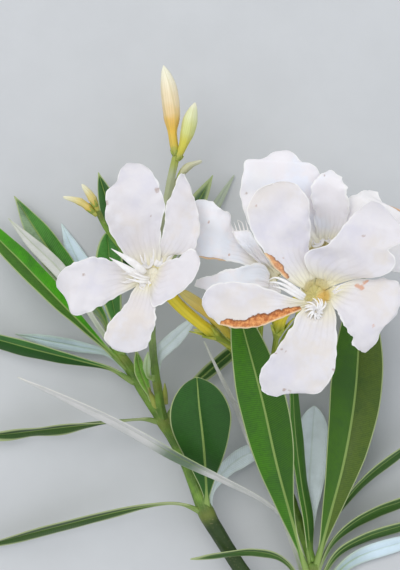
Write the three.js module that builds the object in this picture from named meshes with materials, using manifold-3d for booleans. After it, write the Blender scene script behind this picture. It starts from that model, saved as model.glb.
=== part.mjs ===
// A cut flowering branch of white oleander, lying on a level surface. Millimetres, +Z up.
// Two leafy shoots leave one cut stem. The left shoot carries whorls of narrow leaves and small
// buds, the right one a whorl of broad leaves and a head of four open flowers.
import * as THREE from "three";
import { mergeVertices } from "three/addons/utils/BufferGeometryUtils.js";
import Module from "manifold-3d";

const wasm = await Module();
wasm.setup();

// Points are [x, y, height]. Across and along are read off a plan drawn as an eye straight above
// the middle sees it, so a point higher than the plan's own level lies a little nearer the axis.
const EYE_HEIGHT = 630;
const PLAN_LEVEL = 30;
// The middle of the branch's bounding box and its lowest point.
const BOX_MIDDLE = [-0.1, -39.6, 0.1];

// Sizes
const CUT_GAP = 0.3;
const LEAF_THICKNESS = 1.1;
const PETIOLE_THICKNESS = 1.7;
const PETIOLE_WIDTH = 2.2;
const PETIOLE_SHARE = 0.08;
const LEAF_FOLD = 0.09;
const TIP_WIDTH = 0.8;
const PETAL_THICKNESS = 0.9;
const THROAT_RADIUS = 5.6;
const THROAT_DEPTH = 9;
const TUBE_RADIUS = 1.8;
const CALYX_RADIUS = 2.1;
const PEDICEL_RADIUS = 0.9;

// Mesh fineness
const LIMB_SIDES = 8;
const LEAF_STEPS = 10;
const LEAF_COLUMNS = 2;
const PETAL_STEPS = 8;
const PETAL_COLUMNS = 4;

const COLOURS = {
  bark: 0x6f7a3c,
  greenStem: 0x6f9436,
  leaf: 0x2f5a22,
  petal: 0xf2eef0,
  bud: 0xe9dfa6,
};

const UP = new THREE.Vector3(0, 0, 1);

// The real point that the plan's eye sees at [x, y] when it lies at that height.
function placed([x, y, height]) {
  const nearer = (EYE_HEIGHT - height) / (EYE_HEIGHT - PLAN_LEVEL);
  return new THREE.Vector3(x * nearer, y * nearer, height);
}

function radians(degrees) {
  return THREE.MathUtils.degToRad(degrees);
}

function toSolid(geometry) {
  const bare = geometry.clone();
  bare.deleteAttribute("normal");
  bare.deleteAttribute("uv");
  const merged = mergeVertices(bare, 1e-4);
  const mesh = new wasm.Mesh({
    numProp: 3,
    vertProperties: merged.attributes.position.array,
    triVerts: new Uint32Array(merged.index.array),
  });
  return new wasm.Manifold(mesh);
}

function toGeometry(solid) {
  const mesh = solid.getMesh();
  const positions = new Float32Array(mesh.numVert * 3);
  for (let i = 0; i < mesh.numVert; i++) {
    positions.set(mesh.vertProperties.subarray(i * mesh.numProp, i * mesh.numProp + 3), i * 3);
  }
  const geometry = new THREE.BufferGeometry();
  geometry.setAttribute("position", new THREE.BufferAttribute(positions, 3));
  geometry.setIndex(new THREE.BufferAttribute(mesh.triVerts, 1));
  geometry.computeVertexNormals();
  return geometry;
}

function largestBody(solid) {
  return solid.decompose().reduce((best, body) => (body.volume() > best.volume() ? body : best));
}

function smoothCurve(points) {
  return new THREE.CatmullRomCurve3(points, false, "centripetal");
}

// Linear steps between [share, value] pairs.
function profile(pairs, share) {
  const after = pairs.findIndex(([at]) => at >= share);
  if (after <= 0) return pairs[after === 0 ? 0 : pairs.length - 1][1];
  const [fromShare, fromValue] = pairs[after - 1];
  const [toShare, toValue] = pairs[after];
  return THREE.MathUtils.mapLinear(share, fromShare, toShare, fromValue, toValue);
}

// A round limb: a cylinder whose rings are laid along a curve at the radius given for each share.
function limbSolid(curve, radii, steps, grow = 0) {
  const geometry = new THREE.CylinderGeometry(1, 1, 1, LIMB_SIDES, steps);
  const frames = curve.computeFrenetFrames(steps);
  const position = geometry.attributes.position;
  for (let i = 0; i < position.count; i++) {
    const share = position.getY(i) + 0.5;
    const ring = Math.round(share * steps);
    const radius = profile(radii, share) + grow;
    const point = curve.getPointAt(share);
    point.addScaledVector(frames.normals[ring], position.getX(i) * radius);
    point.addScaledVector(frames.binormals[ring], -position.getZ(i) * radius);
    const end = share === 0 ? -grow : share === 1 ? grow : 0;
    point.addScaledVector(frames.tangents[ring], end);
    position.setXYZ(i, point.x, point.y, point.z);
  }
  return toSolid(geometry);
}

// A leaf: a flat box whose cross rows are laid along the midrib. Roll turns it about the midrib,
// from flat to on edge, and fold lifts its margins.
function leafSolid(line, width, roll, blunt) {
  const curve = smoothCurve(line);
  const geometry = new THREE.BoxGeometry(1, 1, 1, LEAF_COLUMNS, LEAF_STEPS, 1);
  const position = geometry.attributes.position;
  for (let i = 0; i < position.count; i++) {
    const share = position.getY(i) + 0.5;
    const along = curve.getTangentAt(share);
    const up = UP.clone().addScaledVector(along, -UP.dot(along)).normalize();
    up.applyAxisAngle(along, radians(roll));
    const side = along.clone().cross(up);
    const rowWidth = leafWidth(width, share, blunt);
    const thickness = share < PETIOLE_SHARE ? PETIOLE_THICKNESS : LEAF_THICKNESS;
    const fold = Math.abs(position.getX(i)) * 2 * rowWidth * LEAF_FOLD;
    const lift = position.getZ(i) * thickness + fold;
    const point = curve.getPointAt(share);
    point.addScaledVector(side, position.getX(i) * rowWidth).addScaledVector(up, lift);
    position.setXYZ(i, point.x, point.y, point.z);
  }
  return toSolid(geometry);
}

// A lance leaf is widest past its middle. A blunt one keeps its width almost to the end.
function leafWidth(width, share, blunt) {
  const angle = Math.PI * Math.pow(share, blunt ? 2.2 : 1.4);
  const swell = Math.pow(Math.max(0, Math.sin(angle)), blunt ? 0.6 : 1);
  return Math.max(TIP_WIDTH, PETIOLE_WIDTH * (1 - share), width * swell);
}

// A petal: a flat box whose cross rows run from its left margin to its right one. It starts on
// the rim of the throat and passes the middle and the end height; cup lifts the margins.
function petalSolid(petal, lip, facing) {
  const left = smoothCurve(petal.left.map(([x, y]) => new THREE.Vector3(x, y, 0)));
  const right = smoothCurve(petal.right.map(([x, y]) => new THREE.Vector3(x, y, 0)));
  const geometry = new THREE.BoxGeometry(1, 1, 1, PETAL_COLUMNS, PETAL_STEPS, 1);
  const position = geometry.attributes.position;
  for (let i = 0; i < position.count; i++) {
    const share = position.getY(i) + 0.5;
    const across = position.getX(i);
    const spot = left.getPointAt(share).lerp(right.getPointAt(share), across + 0.5);
    const out = placed([spot.x, spot.y, lip.z]).sub(lip);
    const rim = lip.z - 1 - (out.x * facing.x + out.y * facing.y) / facing.z;
    const arch = petalArch(rim, petal.heights, share);
    const cup = petal.cup * 4 * across * across * Math.sin(Math.PI * Math.min(1, share + 0.1));
    const height = arch + cup + petal.tilt * across * share + position.getZ(i) * PETAL_THICKNESS;
    const point = placed([spot.x, spot.y, height]);
    position.setXYZ(i, point.x, point.y, point.z);
  }
  return toSolid(geometry);
}

// The height of a petal's middle line: through the rim, the middle and the end.
function petalArch(rim, [middle, end], share) {
  const near = rim * (1 - share) * (1 - 2 * share);
  const half = middle * 4 * share * (1 - share);
  return near + half + end * share * (2 * share - 1);
}

// Stems, with radii as [share, radius].
const FORK = [31.4, -116.8, 6.5];
const STEMS = {
  main_stem: {
    points: [[33.6, -143, 3.3], [33.2, -130, 4.6], FORK],
    radii: [[0, 3.2], [1, 3]],
    clearOf: [],
    steps: 5,
  },
  right_stem: {
    points: [FORK, [33.6, -105.6, 8], [35.2, -97, 9.5], [35.8, -88.6, 10.5]],
    radii: [[0, 2.6], [0.6, 2.4], [1, 2.1]],
    clearOf: ["main_stem"],
    steps: 7,
  },
  left_stem: {
    points: [FORK, [19.8, -100.8, 8], [9, -84.5, 9], [1.6, -72, 9.5], [-4.8, -56, 9.5],
      [-11.8, -43.8, 10],
      [-17.6, -34.6, 10], [-23, -25.9, 10], [-28.2, -19.2, 10.5]],
    radii: [[0, 2.6], [0.35, 2.5], [0.47, 2.6], [0.51, 2.2], [0.74, 2], [0.93, 1.8], [1, 1.4]],
    clearOf: ["main_stem", "right_stem"],
    steps: 20,
  },
  left_shoot: {
    points: [[-11.8, -43.2, 10.5], [-13.4, -34.2, 13.5], [-15, -20.8, 17], [-15.4, -1.6, 21],
      [-13.4, 16, 24],
      [-10.2, 29.4, 26], [-7.7, 41.3, 27]],
    radii: [[0, 1.6], [0.15, 1.3], [0.6, 1.1], [1, 1.2]],
    clearOf: ["left_stem"],
    steps: 15,
  },
  bud_stalk: {
    points: [[-15.3, -4, 20.5], [-23, 8.6, 23], [-30.1, 18.2, 24.5], [-32.6, 23.7, 25]],
    radii: [[0, 0.8], [1, 0.8]],
    clearOf: ["left_shoot"],
    steps: 7,
  },
  flower_stalk: {
    points: [[35.8, -88.6, 10.5], [32.3, -77.8, 11.5], [28.2, -65, 13], [23.7, -49.6, 15],
      [19.8, -34.2, 18],
      [15.7, -21.4, 21]],
    radii: [[0, 1.6], [1, 1.2]],
    clearOf: ["right_stem"],
    steps: 10,
  },
};

// Leaves: the limb and the share of it where a leaf grows, its width and its midrib.
const LEAVES = {
  right_leaf_left: {
    on: "right_stem", at: 0.8, width: 15.5, roll: -3,
    line: [[29.6, -76, 18.5], [24.6, -57.6, 25.5], [19.8, -36.2, 32], [14.4, -16, 37], [10.2, 0, 38]],
  },
  right_leaf_right: {
    on: "right_stem", at: 0.86, width: 15.8, roll: 4,
    line: [[42.4, -72, 14.5], [46.4, -57.6, 15], [49.9, -36.8, 12.5], [51.2, -17.6, 8], [51.5, 6.4, 0.9]],
  },
  right_leaf_upright: {
    on: "right_stem", at: 0.97, width: 12, roll: 68,
    line: [[34.2, -75.2, 13], [33, -62.4, 15], [31, -46.4, 17], [29.4, -34.6, 18], [28.2, -26.6, 19]],
  },
  right_leaf_long: {
    on: "right_stem", at: 0.92, width: 9.5, roll: -66,
    line: [[30.4, -79, 11], [22.4, -71.7, 15], [9.6, -64, 22], [-6.4, -56.3, 27], [-25.6, -46.1, 29],
      [-44.8, -35.5, 27], [-58.6, -29.4, 23]],
  },
  right_leaf_thin: {
    on: "right_stem", at: 0.72, width: 6, roll: -72,
    line: [[30.6, -85.5, 7], [21.8, -63, 12.5], [12.8, -41.6, 17], [1.3, -17.9, 19]],
  },
  right_leaf_rising: {
    on: "right_stem", at: 0.9, width: 8, roll: 60,
    line: [[40.6, -78, 7], [46.4, -68.8, 8], [52.8, -61.8, 8.5], [64, -53.1, 9], [78.4, -44.5, 8]],
  },
  right_leaf_wide: {
    on: "right_stem", at: 0.64, width: 9, roll: 58,
    line: [[41.6, -84, 8], [48, -77.8, 7.5], [56, -73, 7.5], [64, -69.3, 7.5], [81.6, -63.4, 6]],
  },
  right_leaf_low: {
    on: "right_stem", at: 0.46, width: 7.5, roll: 58,
    line: [[43, -86.6, 4.6], [51.2, -81.2, 4.5], [64, -77, 4.5], [80, -73.6, 4]],
  },
  right_leaf_bottom: {
    on: "right_stem", at: 0.28, width: 6, roll: 20,
    line: [[46.4, -89.5, 3], [64, -82.4, 2], [78.4, -79.4, 1.5]],
  },
  right_leaf_under: {
    on: "right_stem", at: 0.94, width: 10, roll: 0, blunt: true,
    line: [[34.6, -75.2, 6], [34.6, -62.4, 5], [34.9, -52.8, 4], [36.2, -39.4, 3]],
  },
  right_leaf_arching: {
    on: "right_stem", at: 0.5, width: 7, roll: -62,
    line: [[30.4, -92, 11], [25.6, -87, 13], [17.6, -85, 14.5], [8, -85.8, 15.5], [-3.2, -88, 15]],
  },
  left_leaf_spoon: {
    on: "left_stem", at: 0.47, width: 20, roll: 0, blunt: true,
    line: [[1.9, -62.4, 15], [1, -49.6, 22], [-0.3, -38.4, 27], [-1, -29.4, 30]],
  },
  left_leaf_arching: {
    on: "left_stem", at: 0.46, width: 7, roll: -66,
    line: [[-1.3, -71.7, 10.5], [-6.4, -70.1, 11], [-19.2, -70.9, 11], [-44.8, -76.8, 8], [-64, -81.9, 5],
      [-75.2, -85.4, 3]],
  },
  left_leaf_curved: {
    on: "left_stem", at: 0.46, width: 6.5, roll: 16,
    line: [[3.2, -67.8, 8], [5.1, -63, 6.5], [9, -58.2, 5], [14.4, -54.4, 4.5], [27.2, -49.6, 3.5]],
  },
  left_leaf_narrow: {
    on: "left_stem", at: 0.742, width: 7, roll: -62,
    line: [[-17, -43.2, 10.5], [-24, -43.5, 10.5], [-33.6, -44.2, 10], [-44.8, -45.4, 9], [-64, -47.7, 6],
      [-72, -48, 4]],
  },
  left_leaf_hidden: {
    on: "left_stem", at: 0.742, width: 5, roll: 16,
    line: [[-6.4, -36.2, 8], [1.6, -28.5, 7], [9.6, -21.8, 6], [18.6, -14.4, 5]],
  },
  left_leaf_young: {
    on: "left_stem", at: 0.79, width: 4, roll: 6,
    line: [[-17, -33, 13], [-19.2, -27.2, 14.5], [-20.5, -20.5, 16]],
  },
  left_leaf_dark: {
    on: "left_stem", at: 0.875, width: 10, roll: -54,
    line: [[-28.2, -26.9, 11], [-35.2, -24.8, 11], [-44.8, -22.6, 11], [-54.4, -20.5, 10],
      [-64, -18.2, 8],
      [-81.6, -14.4, 4]],
  },
  left_leaf_behind: {
    on: "left_stem", at: 0.91, width: 4.5, roll: -16,
    line: [[-29.4, -22, 7.5], [-38.4, -19.7, 6], [-48, -17.9, 5], [-59.2, -15.7, 4]],
  },
  left_leaf_bright: {
    on: "left_stem", at: 0.92, width: 9, roll: -42,
    line: [[-33, -16.7, 13], [-38.4, -9.9, 14.5], [-48, 0.6, 16], [-57.6, 11.2, 15], [-64, 17.9, 13],
      [-73.6, 28.2, 9]],
  },
  left_leaf_white: {
    on: "left_stem", at: 1, width: 5, roll: -8,
    line: [[-33, -12.4, 11.5], [-38.4, -3.8, 11.5], [-45.4, 5.4, 11], [-54.4, 14.1, 10],
      [-61.4, 21.4, 8]],
  },
  left_leaf_upper: {
    on: "left_stem", at: 0.985, width: 7.5, roll: -8,
    line: [[-29, -15.6, 7.5], [-31, -8.6, 5.5], [-35.2, -1.6, 6], [-42.2, 7.4, 5.5], [-50.6, 18.2, 5],
      [-59.5, 28.8, 4]],
  },
  left_leaf_tip: {
    on: "left_stem", at: 0.935, width: 5.5, roll: 8,
    line: [[-27, -15, 5], [-30, -5, 2.8], [-36.8, 5.4, 1.8], [-44.2, 19.5, 0.9]],
  },
  left_leaf_blunt: {
    on: "left_stem", at: 0.96, width: 9, roll: 0, blunt: true,
    line: [[-26.4, -13.4, 16], [-28.8, 0, 17], [-29.1, 9.6, 18], [-29.8, 17, 18.5]],
  },
  shoot_leaf_slip: {
    on: "left_shoot", at: 0.12, width: 2.6, roll: 0,
    line: [[-16.6, -30, 17.5], [-17, -27, 19.5], [-16.6, -21.4, 21.5]],
  },
  shoot_leaf_pale: {
    on: "left_shoot", at: 0.17, width: 6, roll: 16,
    line: [[-11.8, -21.4, 15], [-6.4, -15.7, 16], [1.3, -8, 17]],
  },
  shoot_leaf_pointed: {
    on: "left_shoot", at: 0.41, width: 8, roll: 6,
    line: [[-22.4, 6.4, 14], [-26.9, 19.2, 11], [-29.8, 27.2, 9], [-32.6, 36.2, 6]],
  },
  shoot_leaf_green: {
    on: "left_shoot", at: 0.52, width: 6.5, roll: 4,
    line: [[-9, 9.6, 16], [-3.2, 21.8, 11], [4.2, 35.2, 6]],
  },
  shoot_leaf_narrow: {
    on: "left_shoot", at: 0.46, width: 4.5, roll: 30,
    line: [[-6.4, 7.4, 10], [1.6, 19.8, 6], [10.9, 35.2, 1]],
  },
};

// Flowers: the share of the stalk a flower hangs from, its pedicel, calyx and tube, the middle of
// its mouth, the compass heading and rise it faces, and its petals by their left and right
// margins from the throat outwards.
const FLOWERS = {
  flower_left: {
    on: 1, pedicel: [], calyx: [5.6, -16.3, 27.5], tube: [[-6.4, -6.8, 37]],
    mouth: [-16, 3.2, 50], heading: 137, rise: 54,
    petals: [
      {
        heights: [53.5, 49], cup: 1, tilt: 0,
        left: [[-19.8, 4.2], [-24, 9.3], [-28.2, 15.4], [-30.1, 20.8], [-30.4, 26.2], [-30.1, 29.8],
          [-26.6, 33.3],
          [-25.9, 36.8], [-23.4, 39]],
        right: [[-13.8, 7.4], [-13.1, 14.4], [-11.8, 22.4], [-11.5, 27.2], [-12.5, 30.4], [-14.1, 34.6],
          [-16.3, 37.4], [-18.9, 38.7], [-22.1, 39]],
      },
      {
        heights: [52.5, 50], cup: 0.6, tilt: -2,
        left: [[-12.8, 5.4], [-12.5, 14.4], [-11.5, 22.4], [-10.2, 27.2], [-8.3, 32], [-6.7, 35.2],
          [-6.1, 35.8]],
        right: [[-7.7, 8.6], [-2.6, 12.2], [-0.3, 16], [-0.3, 22.4], [-1.3, 27.2], [-2.6, 30.4],
          [-4.2, 33.3],
          [-5.1, 35.5]],
      },
      {
        heights: [56.5, 58], cup: 0.8, tilt: 2,
        left: [[-13.4, 5.4], [-11.2, 7.7], [-8, 9.3], [-4.8, 10.9], [-2.2, 11.5], [-0.6, 9.9], [0, 8]],
        right: [[-16, -0.3], [-14.7, -6.1], [-11.2, -5.4], [-7, -3.2], [-3.2, 0.3], [-1, 3.5], [0, 6.7]],
      },
      {
        heights: [55.5, 54], cup: 0.8, tilt: 0,
        left: [[-14.7, 0.3], [-13.8, -4.8], [-14.1, -8], [-14.1, -11.8], [-15.4, -16], [-16.6, -19.2],
          [-18.2, -20.8], [-20.8, -21.4], [-23, -21.8]],
        right: [[-18.9, 1.3], [-21.4, -1.6], [-23, -4.2], [-24.6, -6.7], [-27.2, -9.6], [-29.4, -12.8],
          [-30.7, -16], [-29.8, -18.6], [-27.2, -20.8], [-24.3, -21.4]],
      },
      {
        heights: [51.5, 47.5], cup: 0.8, tilt: 0,
        left: [[-19.2, 0.3], [-23, -1.9], [-26.2, -3.5], [-30.4, -5.8], [-34.2, -8], [-36.8, -9.3],
          [-41, -9.6],
          [-42.2, -6.4], [-43.5, -3.8], [-45.8, -1]],
        right: [[-20.5, 4.8], [-24, 6.4], [-27.2, 7.7], [-30.4, 8.6], [-33.6, 9], [-36.8, 8.6],
          [-40, 7.4],
          [-43.2, 5.8], [-45.1, 3.8], [-46.1, 1.3]],
      },
    ],
  },
  flower_middle: {
    on: 0.9, pedicel: [], calyx: [19.8, -9.6, 28.5], tube: [],
    mouth: [21.8, 6.4, 43], heading: 100, rise: 62,
    petals: [
      {
        heights: [45, 42], cup: 0.8, tilt: 0,
        left: [[19.8, 7.4], [16, 7.4], [12.2, 7.4], [8, 7.7], [3.8, 8], [0, 8.6], [-3.2, 11.2],
          [-4.5, 16],
          [-4.2, 22.4]],
        right: [[17.9, 12.2], [15.4, 16.3], [12.2, 17.3], [9.9, 18.9], [9.6, 22.4], [7, 24.6],
          [3.8, 26.9],
          [0, 27.5], [-2.2, 26.9]],
      },
      {
        heights: [46, 45.5], cup: 0.5, tilt: 0,
        left: [[23, 0.3], [17.6, -1], [12.2, -1.6], [6.4, -1.9], [1.6, -1.9], [-1.3, -0.6]],
        right: [[19.8, 7], [16, 6.4], [11.2, 5.4], [6.4, 4.2], [2.2, 2.9], [-0.3, 1.6]],
      },
      {
        heights: [45, 44], cup: 0.5, tilt: 0,
        left: [[19.8, 10.6], [18.6, 14.6], [19.8, 17.6]],
        right: [[25, 9.6], [25.6, 14], [24.6, 17.6]],
      },
      {
        heights: [44.5, 44], cup: 0.5, tilt: 0,
        left: [[26.6, 8.6], [28.6, 9.6], [30.6, 8.6]],
        right: [[26.6, 3.5], [29.2, 3.4], [31, 5.4]],
      },
      {
        heights: [45, 44], cup: 0.5, tilt: 0,
        left: [[24.3, 1.6], [26.2, -2.2], [24.3, -5.4]],
        right: [[19.8, 1.6], [18.6, -2.2], [20.5, -5.4]],
      },
    ],
  },
  flower_front: {
    on: 0.74, pedicel: [[24.6, -20.8, 27]], calyx: [26.2, -15.7, 35], tube: [],
    mouth: [37.8, -2.2, 60], heading: 50, rise: 74,
    petals: [
      {
        heights: [64, 66], cup: 1, tilt: 0,
        left: [[32, -1], [27.2, 2.2], [22.4, 7.4], [19.2, 12.2], [16.6, 17], [15, 22.4], [15.4, 26.2],
          [17, 29.1], [19.8, 31.4], [22.7, 32.3]],
        right: [[35.2, 1.6], [33, 6.4], [32, 11.2], [32, 17], [33.3, 22.4], [33, 27.2], [31.4, 30.4],
          [28.2, 32.3], [25, 32.6]],
      },
      {
        heights: [62.5, 60], cup: 1, tilt: 2,
        left: [[34.9, -7], [32, -8.3], [28.8, -9.6], [25.6, -10.9], [21.8, -12.5], [17.6, -13.8],
          [12.8, -14.1], [9, -13.4], [5.8, -12.5], [2.6, -9.9], [0.6, -6.4]],
        right: [[33.6, -3.8], [28.8, -1.9], [24, -0.3], [18.6, 0.6], [12.8, 1.3], [8, 1.3], [4.2, 0],
          [1.9, -1.9], [0.6, -4.5]],
      },
      {
        heights: [64, 60], cup: 1, tilt: 0,
        left: [[41.3, -4.8], [42.9, -7.4], [43.8, -11.2], [43.8, -16], [43.8, -20.8], [43.8, -24.6],
          [42.9, -27.8], [41.6, -31], [40, -33], [37.8, -34.9], [32, -34.6], [27.2, -34.9],
            [24.3, -35.8]],
        right: [[35.5, -5.8], [32.6, -9.3], [30.4, -11.8], [28.2, -14.7], [25.9, -17.9], [23.4, -21.8],
          [20.8, -24.3], [19.5, -27.8], [18.9, -31.7], [19.8, -33.9], [21.8, -35.2]],
      },
      {
        heights: [63, 60], cup: 1, tilt: 0,
        left: [[43.5, -0.6], [49.6, 1.3], [56, 1.6], [61.8, 1.9], [64.6, -0.3], [64.6, -5.1], [63, -9.6],
          [60.8, -11.8], [57.9, -14.4], [57.3, -17], [55.7, -19.2], [53.1, -21.8]],
        right: [[41.3, -4.8], [43.2, -8], [45.4, -11.2], [47, -14.4], [48.3, -17.6], [49.6, -20.2],
          [51.8, -21.4]],
      },
      {
        heights: [66, 63], cup: 1, tilt: 0,
        left: [[39, 1.6], [40, 6.4], [41.9, 11.8], [44.2, 17], [46.7, 20.2], [49.6, 23.4], [52.5, 25.9],
          [54.7, 27.2]],
        right: [[43.8, 0.3], [50.2, 1.9], [56, 1.9], [60.2, 2.9], [63, 5.1], [65, 9], [65.6, 13.1],
          [65, 17.3],
          [62.7, 20.5], [60.2, 23.7], [57.6, 26.2]],
      },
    ],
  },
  flower_back: {
    on: 0.82, pedicel: [[27.2, -16.6, 23]], calyx: [32, -10.6, 27], tube: [],
    mouth: [39, 11.2, 45], heading: 75, rise: 62,
    petals: [
      {
        heights: [48, 46.5], cup: 1, tilt: 0,
        left: [[35.2, 10.6], [28.2, 13.4], [19.8, 15.7], [15.7, 19.2], [13.1, 24.6], [12.8, 31],
          [13.4, 36.2],
          [14.7, 40], [18.6, 40.3], [21.8, 41.6], [24.3, 42.6]],
        right: [[41, 14], [42.6, 22.4], [41.9, 28.8], [40.3, 33.6], [38.1, 36.5], [35.2, 38.4],
          [32.6, 39.4],
          [31, 41.3], [28.8, 42.6], [26.2, 42.9]],
      },
      {
        heights: [51, 51], cup: 0.8, tilt: 0,
        left: [[37.5, 13.4], [36.5, 20.8], [35.5, 27.2], [35.5, 31.4], [37.1, 33.9], [39, 35.5],
          [41, 36.8]],
        right: [[43.4, 14], [47.4, 20.2], [48, 25], [47.4, 28.2], [46.4, 31], [45.4, 33.9], [43.8, 35.2],
          [42.6, 36.8]],
      },
      {
        heights: [47, 45], cup: 0.8, tilt: 0,
        left: [[42.6, 14.6], [46.4, 21.4], [47, 25.3], [47.7, 27.8], [49.6, 28.8], [51.8, 30.1],
          [53.8, 30.4]],
        right: [[44, 11.4], [56, 13.1], [63, 15.7], [65.3, 20.2], [64, 23.7], [60.8, 25], [58.2, 26.6],
          [57, 29.1], [55.4, 30.4]],
      },
      {
        heights: [46, 44], cup: 0.8, tilt: 0,
        left: [[44, 12.4], [57.6, 18.2], [67.2, 17], [73, 12.8]],
        right: [[43.4, 8.4], [56, 5.4], [65.6, 4.2], [72.3, 8]],
      },
      {
        heights: [45, 43], cup: 0.5, tilt: 0,
        left: [[42.2, 7.6], [45, 3], [43, -1.6]],
        right: [[36.5, 7.6], [36, 3], [39, -1.6]],
      },
    ],
  },
};

// Buds: the share of the limb they grow on, their middle line, the largest radius, where the
// swelling starts and where it is widest.
const BUDS = {
  tall_bud: {
    on: "left_shoot", at: 1,
    line: [[-8.2, 52, 27.5], [-11.8, 70.1, 28]],
    radius: 3, neck: 0.2, widest: 0.55,
  },
  second_bud: {
    on: "left_shoot", at: 0.925,
    line: [[-4, 47.6, 28.4], [-1, 58.2, 29]],
    radius: 2.2, neck: 0.25, widest: 0.55,
  },
  spent_bud: {
    on: "left_shoot", at: 0.88,
    line: [[-4.2, 37.6, 26.2], [0.6, 39.7, 26]],
    radius: 1.2, neck: 0.3, widest: 0.6,
  },
  side_bud_left: {
    on: "bud_stalk", at: 0.96,
    line: [[-38, 26.4, 25], [-43.8, 28.2, 25]],
    radius: 1.3, neck: 0.15, widest: 0.4,
  },
  side_bud_right: {
    on: "bud_stalk", at: 1,
    line: [[-35, 28.5, 26], [-37.8, 32.3, 27]],
    radius: 1.3, neck: 0.2, widest: 0.5,
  },
  ochre_bud: {
    on: "flower_stalk", at: 0.955,
    line: [[4.8, -10.8, 33.5], [-7, -1.3, 41]],
    radius: 2, neck: 0.3, widest: 0.85,
  },
  green_bud: {
    on: "flower_stalk", at: 0.915,
    line: [[6, -16.5, 22.5], [-2.2, -14.2, 24.5]],
    radius: 1.8, neck: 0.35, widest: 0.7,
  },
};

const curves = {};
const clearances = {};
const branch = new THREE.Group();

function addMesh(name, solid, colour) {
  const material = new THREE.MeshStandardMaterial({ color: colour, roughness: 0.6, metalness: 0 });
  const mesh = new THREE.Mesh(toGeometry(solid), material);
  mesh.name = name;
  branch.add(mesh);
}

function clearOfLimbs(solid, names) {
  return largestBody(names.reduce((left, name) => left.subtract(clearances[name]), solid));
}

function addStems() {
  for (const [name, stem] of Object.entries(STEMS)) {
    curves[name] = smoothCurve(stem.points.map(placed));
    clearances[name] = limbSolid(curves[name], stem.radii, stem.steps, CUT_GAP);
    const solid = limbSolid(curves[name], stem.radii, stem.steps);
    const colour = name === "main_stem" ? COLOURS.bark : COLOURS.greenStem;
    addMesh(name, clearOfLimbs(solid, stem.clearOf), colour);
  }
}

// A side shoot starts just off its limb's middle line, on the side it leans to.
function footOn(limb, share, towards) {
  const along = curves[limb].getTangentAt(share);
  const foot = curves[limb].getPointAt(share);
  const lean = towards.clone().sub(foot);
  lean.addScaledVector(along, -lean.dot(along)).normalize();
  return foot.addScaledVector(lean, share < 1 ? 0.9 : 0);
}

function addLeaves() {
  for (const [name, leaf] of Object.entries(LEAVES)) {
    const line = leaf.line.map(placed);
    const foot = footOn(leaf.on, leaf.at, line[0]);
    const solid = leafSolid([foot, ...line], leaf.width, leaf.roll, leaf.blunt);
    addMesh(name, clearOfLimbs(solid, Object.keys(STEMS)), COLOURS.leaf);
  }
}

// The trumpet of a flower, from its stalk through the calyx to the open mouth.
function trumpetSolid(flower, lip, facing) {
  const calyx = placed(flower.calyx);
  const toCalyx = [...flower.pedicel.map(placed), calyx];
  const foot = footOn("flower_stalk", flower.on, toCalyx[0]);
  const back = lip.clone().addScaledVector(facing, -THROAT_DEPTH);
  const curve = smoothCurve([foot, ...toCalyx, ...flower.tube.map(placed), back, lip]);
  const length = curve.getLength();
  const calyxAt = smoothCurve([foot, ...toCalyx]).getLength() / length;
  const behind = (depth) => 1 - depth / length;
  const radii = [
    [0, PEDICEL_RADIUS],
    [calyxAt - 0.05, PEDICEL_RADIUS],
    [calyxAt + 0.02, CALYX_RADIUS],
    [calyxAt + 0.12, TUBE_RADIUS],
    [behind(THROAT_DEPTH + 3), TUBE_RADIUS * 1.1],
    [behind(THROAT_DEPTH), TUBE_RADIUS * 1.4],
    [behind(5), THROAT_RADIUS * 0.72],
    [1, THROAT_RADIUS],
  ];
  const outer = limbSolid(curve, radii, 18);
  const start = back.clone().addScaledVector(facing, 3);
  const beyond = lip.clone().addScaledVector(facing, 2);
  const bore = [[0, 0.8], [0.5, 3.2], [0.75, 4.5], [1, 5]];
  const inner = limbSolid(new THREE.LineCurve3(start, beyond), bore, 4);
  return outer.subtract(inner);
}

function addFlowers() {
  for (const [name, flower] of Object.entries(FLOWERS)) {
    const level = Math.cos(radians(flower.rise));
    const facing = new THREE.Vector3(
      level * Math.cos(radians(flower.heading)),
      level * Math.sin(radians(flower.heading)),
      Math.sin(radians(flower.rise)),
    );
    const lip = placed(flower.mouth);
    const petals = flower.petals.map((petal) => petalSolid(petal, lip, facing));
    const solid = petals.reduce((whole, petal) => whole.add(petal), trumpetSolid(flower, lip, facing));
    addMesh(name, clearOfLimbs(solid, ["flower_stalk"]), COLOURS.petal);
  }
}

function addBuds() {
  for (const [name, bud] of Object.entries(BUDS)) {
    const line = bud.line.map(placed);
    const foot = footOn(bud.on, bud.at, line[0]);
    const stalk = 0.8;
    const radii = [
      [0, stalk],
      [bud.neck, stalk * 1.2],
      [(bud.neck + bud.widest) / 2, bud.radius * 0.75],
      [bud.widest, bud.radius],
      [(bud.widest + 0.95) / 2, bud.radius * 0.75],
      [0.95, bud.radius * 0.3],
      [1, 0.3],
    ];
    const solid = limbSolid(smoothCurve([foot, ...line]), radii, 10);
    addMesh(name, clearOfLimbs(solid, [bud.on]), COLOURS.bud);
  }
}

addStems();
addLeaves();
addFlowers();
addBuds();
branch.position.set(-BOX_MIDDLE[0], -BOX_MIDDLE[1], -BOX_MIDDLE[2]);

export default branch;
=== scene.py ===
"""Fine leaves, petals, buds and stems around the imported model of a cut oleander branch.

Run as a script. Lengths in the tables are millimetres, and the finished meshes are in metres.
"""
import bisect
from math import acos, atan2, copysign, cos, exp, hypot, pi, radians, sin, tau
from typing import NamedTuple

import bpy
from bpy.props import FloatProperty, FloatVectorProperty, PointerProperty
from bpy.types import Operator, Panel, PropertyGroup
from mathutils import Matrix, Vector, noise


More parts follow.
